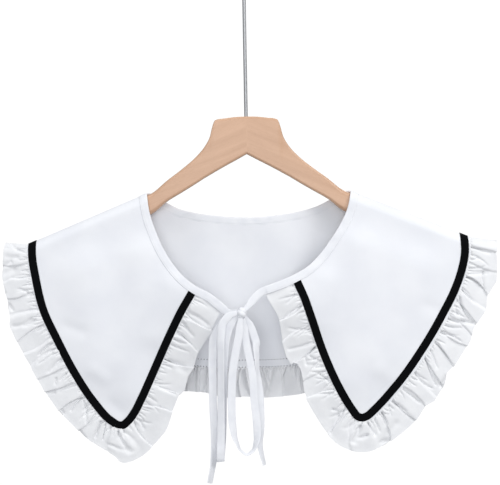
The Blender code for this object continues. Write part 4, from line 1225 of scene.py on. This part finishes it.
for name, before, end in (
    ("tie_neck_left", band_grid[3].mean(axis=0), band_grid[0].mean(axis=0)),
    ("tie_neck_right", band_grid[-4].mean(axis=0), band_grid[-1].mean(axis=0)),
):
    run = (end - before) / np.linalg.norm(end - before)
    end = end - (0.0, BAND_LIFT, 0.0)
    path = [end - run * 1.5 * MM, end + run * 3 * MM, knot_point(KNOT_EXITS[name][0])]
    neck_tie = tie(name + "_cloth", path, [0, 0, 0], (False, True), 0.0)[0]
    hang_on(neck_tie, "poplin", name)

# HANGER
# A flat wooden hanger of pale beech, cut from two arms that are finger jointed at the middle,
# with all its edges rounded over and a clear satin varnish.
PLATE = 12 * MM
HANGER = (  # across, top, bottom
    (0.0, 66.0, 32.3),
    (9.0, 65.8, 27.4),
    (20.0, 64.6, 21.6),
    (26.0, 63.8, 18.3),
    (28.2, 62.8, 17.1),
    (29.4, 60.6, 16.4),
    (30.9, 56.0, 15.5),
    (33.2, 47.5, 14.2),
    (38.5, 38.4, 11.2),
    (46.5, 29.6, 6.2),
    (58.5, 19.6, -1.0),
    (72.0, 9.6, -9.0),
)
ARM_DEPTH = (  # across, depth of the arm
    (86.0, 18.6),
    (104.0, 18.4),
    (130.0, 18.0),
    (160.0, 17.4),
    (180.0, 16.6),
    (186.0, 15.0),
    (189.5, 11.5),
)
ARM_CORNER = 4.2 * MM  # radius of the arms' rounded edges
YOKE_CORNER = 2.6 * MM  # and of the middle's, which shows
YOKE_ENDS = (68 * MM, 84 * MM)  # between these the radius grows
CORNER_POINTS = 8
CLOTH_SEAT = 1.25 * MM  # from the cloth's middle down to the arm's top
BEECH_DARK = (0.56, 0.34, 0.215)
BEECH_LIGHT = (0.655, 0.413, 0.27)
BEECH_FLECK = (0.80, 0.76, 0.72)  # by which its small flecks darken it

wood, node, shader = new_finish("beech")
place = node("TexCoord")
grain_place = node("Mapping", Vector=place.outputs["UV"], Scale=(9.0, 120.0, 1.0))
grain = node("TexNoise", Vector=grain_place.outputs[0], Scale=1.0, Detail=5.0, Roughness=0.6)
fleck_place = node("Mapping", Vector=place.outputs["UV"], Scale=(220.0, 2200.0, 1.0))
flecks = node("TexNoise", Vector=fleck_place.outputs[0], Scale=1.0, Detail=2.0)
grain_colour = ramp(node, grain.outputs["Fac"], (0.33, BEECH_DARK), (0.68, BEECH_LIGHT))
fleck_colour = ramp(node, flecks.outputs["Fac"], (0.34, BEECH_FLECK), (0.46, (1.0, 1.0, 1.0)))
wood_mix = node("Mix", (("data_type", "RGBA"), ("blend_type", "MULTIPLY")))
wood_mix.inputs[0].default_value = 0.28
wood.node_tree.links.new(grain_colour, wood_mix.inputs[6])
wood.node_tree.links.new(fleck_colour, wood_mix.inputs[7])
wood_bump = node("Bump", Strength=0.25, Distance=0.1 * MM, Height=flecks.outputs["Fac"])
shader(Base_Color=wood_mix.outputs[2], Normal=wood_bump.outputs[0], Roughness=0.42)
shader(Coat_Weight=0.25, Coat_Roughness=0.25)

arm = np.array(
    [
        (x, (ridge_height(x * MM) - NECK_LEVEL - CLOTH_SEAT / math.cos(SLOPE)) / MM, depth)
        for x, depth in ARM_DEPTH
    ]
)
arm[:, 1] -= (ARM_DEPTH[0][1] - arm[:, 2]) / 2
arm[:, 2] = arm[:, 1] - arm[:, 2]
half_curve = smooth(np.concatenate([HANGER, arm]), per_span=10)
outline = np.concatenate([half_curve[:0:-1] * (-1, 1, 1), half_curve]) * MM
across, top, bottom = outline[:, :1], outline[:, 1:2] + NECK_LEVEL, outline[:, 2:] + NECK_LEVEL
corner = np.interp(np.abs(across), YOKE_ENDS, (YOKE_CORNER, ARM_CORNER))
corner = np.minimum(corner, (top - bottom) / 2.2)
quarters = [np.linspace(start, start + 90, CORNER_POINTS) for start in (0, 90, 180, 270)]
round_turn = np.radians(np.concatenate(quarters))
side = np.repeat([1, -1, -1, 1], CORNER_POINTS) * (PLATE / 2)
upper = np.repeat([1, 1, 0, 0], CORNER_POINTS)
reach = side - np.sign(side) * corner + corner * np.cos(round_turn)
level = np.where(upper > 0, top - corner, bottom + corner) + corner * np.sin(round_turn)
rings = np.stack([np.broadcast_to(across, reach.shape), reach, level], -1)
from_middle = np.broadcast_to(np.abs(across), reach.shape)
height = level - NECK_LEVEL
arm_run = from_middle * math.cos(SLOPE) - height * math.sin(SLOPE) + 0.7 * (across > 0)
arm_cross = from_middle * math.sin(SLOPE) + height * math.cos(SLOPE) + 0.35 * reach
wood_uv = np.stack([arm_run, arm_cross], -1)
wood_uv = np.concatenate([wood_uv.reshape(-1, 2), wood_uv[[0, -1], 0]])
wood_faces = tube_faces(*rings.shape[:2])
wood_piece = add_mesh("hanger_wood_beech", with_ends(rings), wood_faces, wood, wood_uv)
hang_on(wood_piece, "beech", "hanger_wood")

# HOOK
# Plated steel wire, straight where it shows and bent into a round hook above the picture's edge.
# Its lower end is pressed into a hole in the wood.
WIRE = 1.6 * MM
WIRE_SIDES = 24
HOOK_RADIUS = 20 * MM
STEM_DEPTH = 22 * MM  # how deep the wire goes into the wood
STEM_STRAIGHT = -52 * MM  # height at which it begins to sway out
HOOK_FROM = math.radians(-50)
HOOK_TO = math.radians(196)
HOOK_SWAY = 17 * MM  # weight of the sway's two end directions

steel, node, shader = new_finish("plated_wire")
place = node("TexCoord")
drawn_place = node("Mapping", Vector=place.outputs["UV"], Scale=(12.0, 3000.0, 1.0))
drawn = node("TexNoise", Vector=drawn_place.outputs[0], Scale=1.0, Detail=3.0)
drawn_rough = node("MapRange", Value=drawn.outputs["Fac"], To_Min=0.40, To_Max=0.50)
shader(Base_Color=(0.45, 0.455, 0.467, 1.0), Metallic=1.0, Roughness=drawn_rough.outputs[0])

hook_middle = HOOK_RADIUS + WIRE
hook_centre = np.array([0.0, -HOOK_RADIUS])
joins = hook_centre + hook_middle * np.array([math.cos(HOOK_FROM), math.sin(HOOK_FROM)])
stem = np.linspace((0.0, HANGER[0][1] * MM + NECK_LEVEL - STEM_DEPTH), (0.0, STEM_STRAIGHT), 30)
leaving = HOOK_SWAY * np.array([0.0, 1.0])
arriving = HOOK_SWAY * np.array([-math.sin(HOOK_FROM), math.cos(HOOK_FROM)])
sway = cubic(np.linspace(0, 1, 17)[1:, None], stem[-1], leaving, joins, arriving)
hook_turn = np.linspace(HOOK_FROM, HOOK_TO, 60)[1:]
round_part = hook_centre + hook_middle * np.stack([np.cos(hook_turn), np.sin(hook_turn)], axis=1)
hook_path = np.concatenate([stem, sway, round_part])
hook_run = np.gradient(hook_path, axis=0)
hook_run /= np.linalg.norm(hook_run, axis=1)[:, None]
hook_side = np.stack([-hook_run[:, 1], hook_run[:, 0]], axis=1)
hook_along = arc_lengths(hook_path)
to_tip = hook_along[-1] - hook_along
hook_radius = WIRE * np.sqrt(np.clip(1 - (1 - np.clip(to_tip / WIRE, 0, 1)) ** 2, 0.01, 1))
wire_turn = np.linspace(0, 2 * np.pi, WIRE_SIDES + 1)[None, :-1]
wire_out = hook_radius[:, None] * np.cos(wire_turn)
wire_points = np.stack(
    [
        hook_path[:, :1] + hook_side[:, :1] * wire_out,
        hook_radius[:, None] * np.sin(wire_turn),
        hook_path[:, 1:] + hook_side[:, 1:] * wire_out,
    ],
    -1,
)
wire_index = np.arange(len(hook_path) * WIRE_SIDES).reshape(-1, WIRE_SIDES)
wire_ends = [wire_index[0].tolist(), wire_index[-1, ::-1].tolist()]
wire_index = np.concatenate([wire_index, wire_index[:, :1]], axis=1)
wire_faces = grid_faces(wire_index).tolist() + wire_ends
wire_uv = np.stack(np.broadcast_arrays(hook_along[:, None], WIRE * np.abs(wire_turn - np.pi)), -1)
wire_piece = add_mesh("hanger_hook_wire", wire_points, wire_faces, steel, wire_uv)
hang_on(wire_piece, "wire", "hanger_hook")

# FLOOR AND LIGHT
# A plain grey floor well below the collar, and a studio whose walls the camera sees as white. Four
# soft square lamps light the collar, with a weaker glow from all round.
FLOOR_LEVEL = -0.95
FLOOR_HALF = 2.6
FLOOR_CORNERS = ((-1, -1), (1, -1), (1, 1), (-1, 1))
WALL_WHITE = 1.05
GLOW = 0.43
COLLAR_MIDDLE = (0.0, 0.0, -0.33)

floor_finish, node, shader = new_finish("grey_floor")
shader(Base_Color=(0.5, 0.5, 0.51, 1.0), Roughness=0.9)
floor_corners = [(x * FLOOR_HALF, y * FLOOR_HALF, FLOOR_LEVEL) for x, y in FLOOR_CORNERS]
floor = add_mesh("floor", np.array(floor_corners), [(0, 1, 2, 3)], floor_finish)

world = bpy.data.worlds.new("studio")
world.use_nodes = True
bpy.context.scene.world = world
world_tree = world.node_tree
world_tree.nodes.clear()
seen = world_tree.nodes.new("ShaderNodeBackground")
seen.inputs["Color"].default_value = (1.0, 1.0, 1.0, 1.0)
seen.inputs["Strength"].default_value = WALL_WHITE
glow = world_tree.nodes.new("ShaderNodeBackground")
glow.inputs["Color"].default_value = (0.95, 0.97, 1.0, 1.0)
glow.inputs["Strength"].default_value = GLOW
ray = world_tree.nodes.new("ShaderNodeLightPath")
choice = world_tree.nodes.new("ShaderNodeMixShader")
world_output = world_tree.nodes.new("ShaderNodeOutputWorld")
world_tree.links.new(ray.outputs["Is Camera Ray"], choice.inputs["Fac"])
world_tree.links.new(glow.outputs[0], choice.inputs[1])
world_tree.links.new(seen.outputs[0], choice.inputs[2])
world_tree.links.new(choice.outputs[0], world_output.inputs["Surface"])


def add_lamp(name, place, target, size, power, colour):
    """A square area lamp that faces its target."""
    data = bpy.data.lights.new(name, "AREA")
    data.size = size
    data.energy = power
    data.color = colour
    lamp = bpy.data.objects.new(name, data)
    bpy.context.scene.collection.objects.link(lamp)
    lamp.location = place
    away = np.array(target) - np.array(place)
    lamp.rotation_mode = "QUATERNION"
    lamp.rotation_quaternion = Vector(away).to_track_quat("-Z", "Y")


add_lamp("key", (1.15, -1.0, 0.75), COLLAR_MIDDLE, 0.8, 15.6, (1.0, 0.997, 0.99))
add_lamp("fill", (-0.3, -2.7, -0.2), COLLAR_MIDDLE, 1.6, 22.0, (0.965, 0.98, 1.0))
add_lamp("top", (-0.8, -0.7, 1.4), COLLAR_MIDDLE, 1.0, 11.5, (0.99, 0.995, 1.0))
add_lamp("rim", (0.3, 1.5, 0.9), COLLAR_MIDDLE, 1.2, 9.0, (1.0, 1.0, 1.0))

view = bpy.context.scene.view_settings
view.view_transform = "Standard"
view.look = "None"
view.exposure = 0.0
view.gamma = 1.0
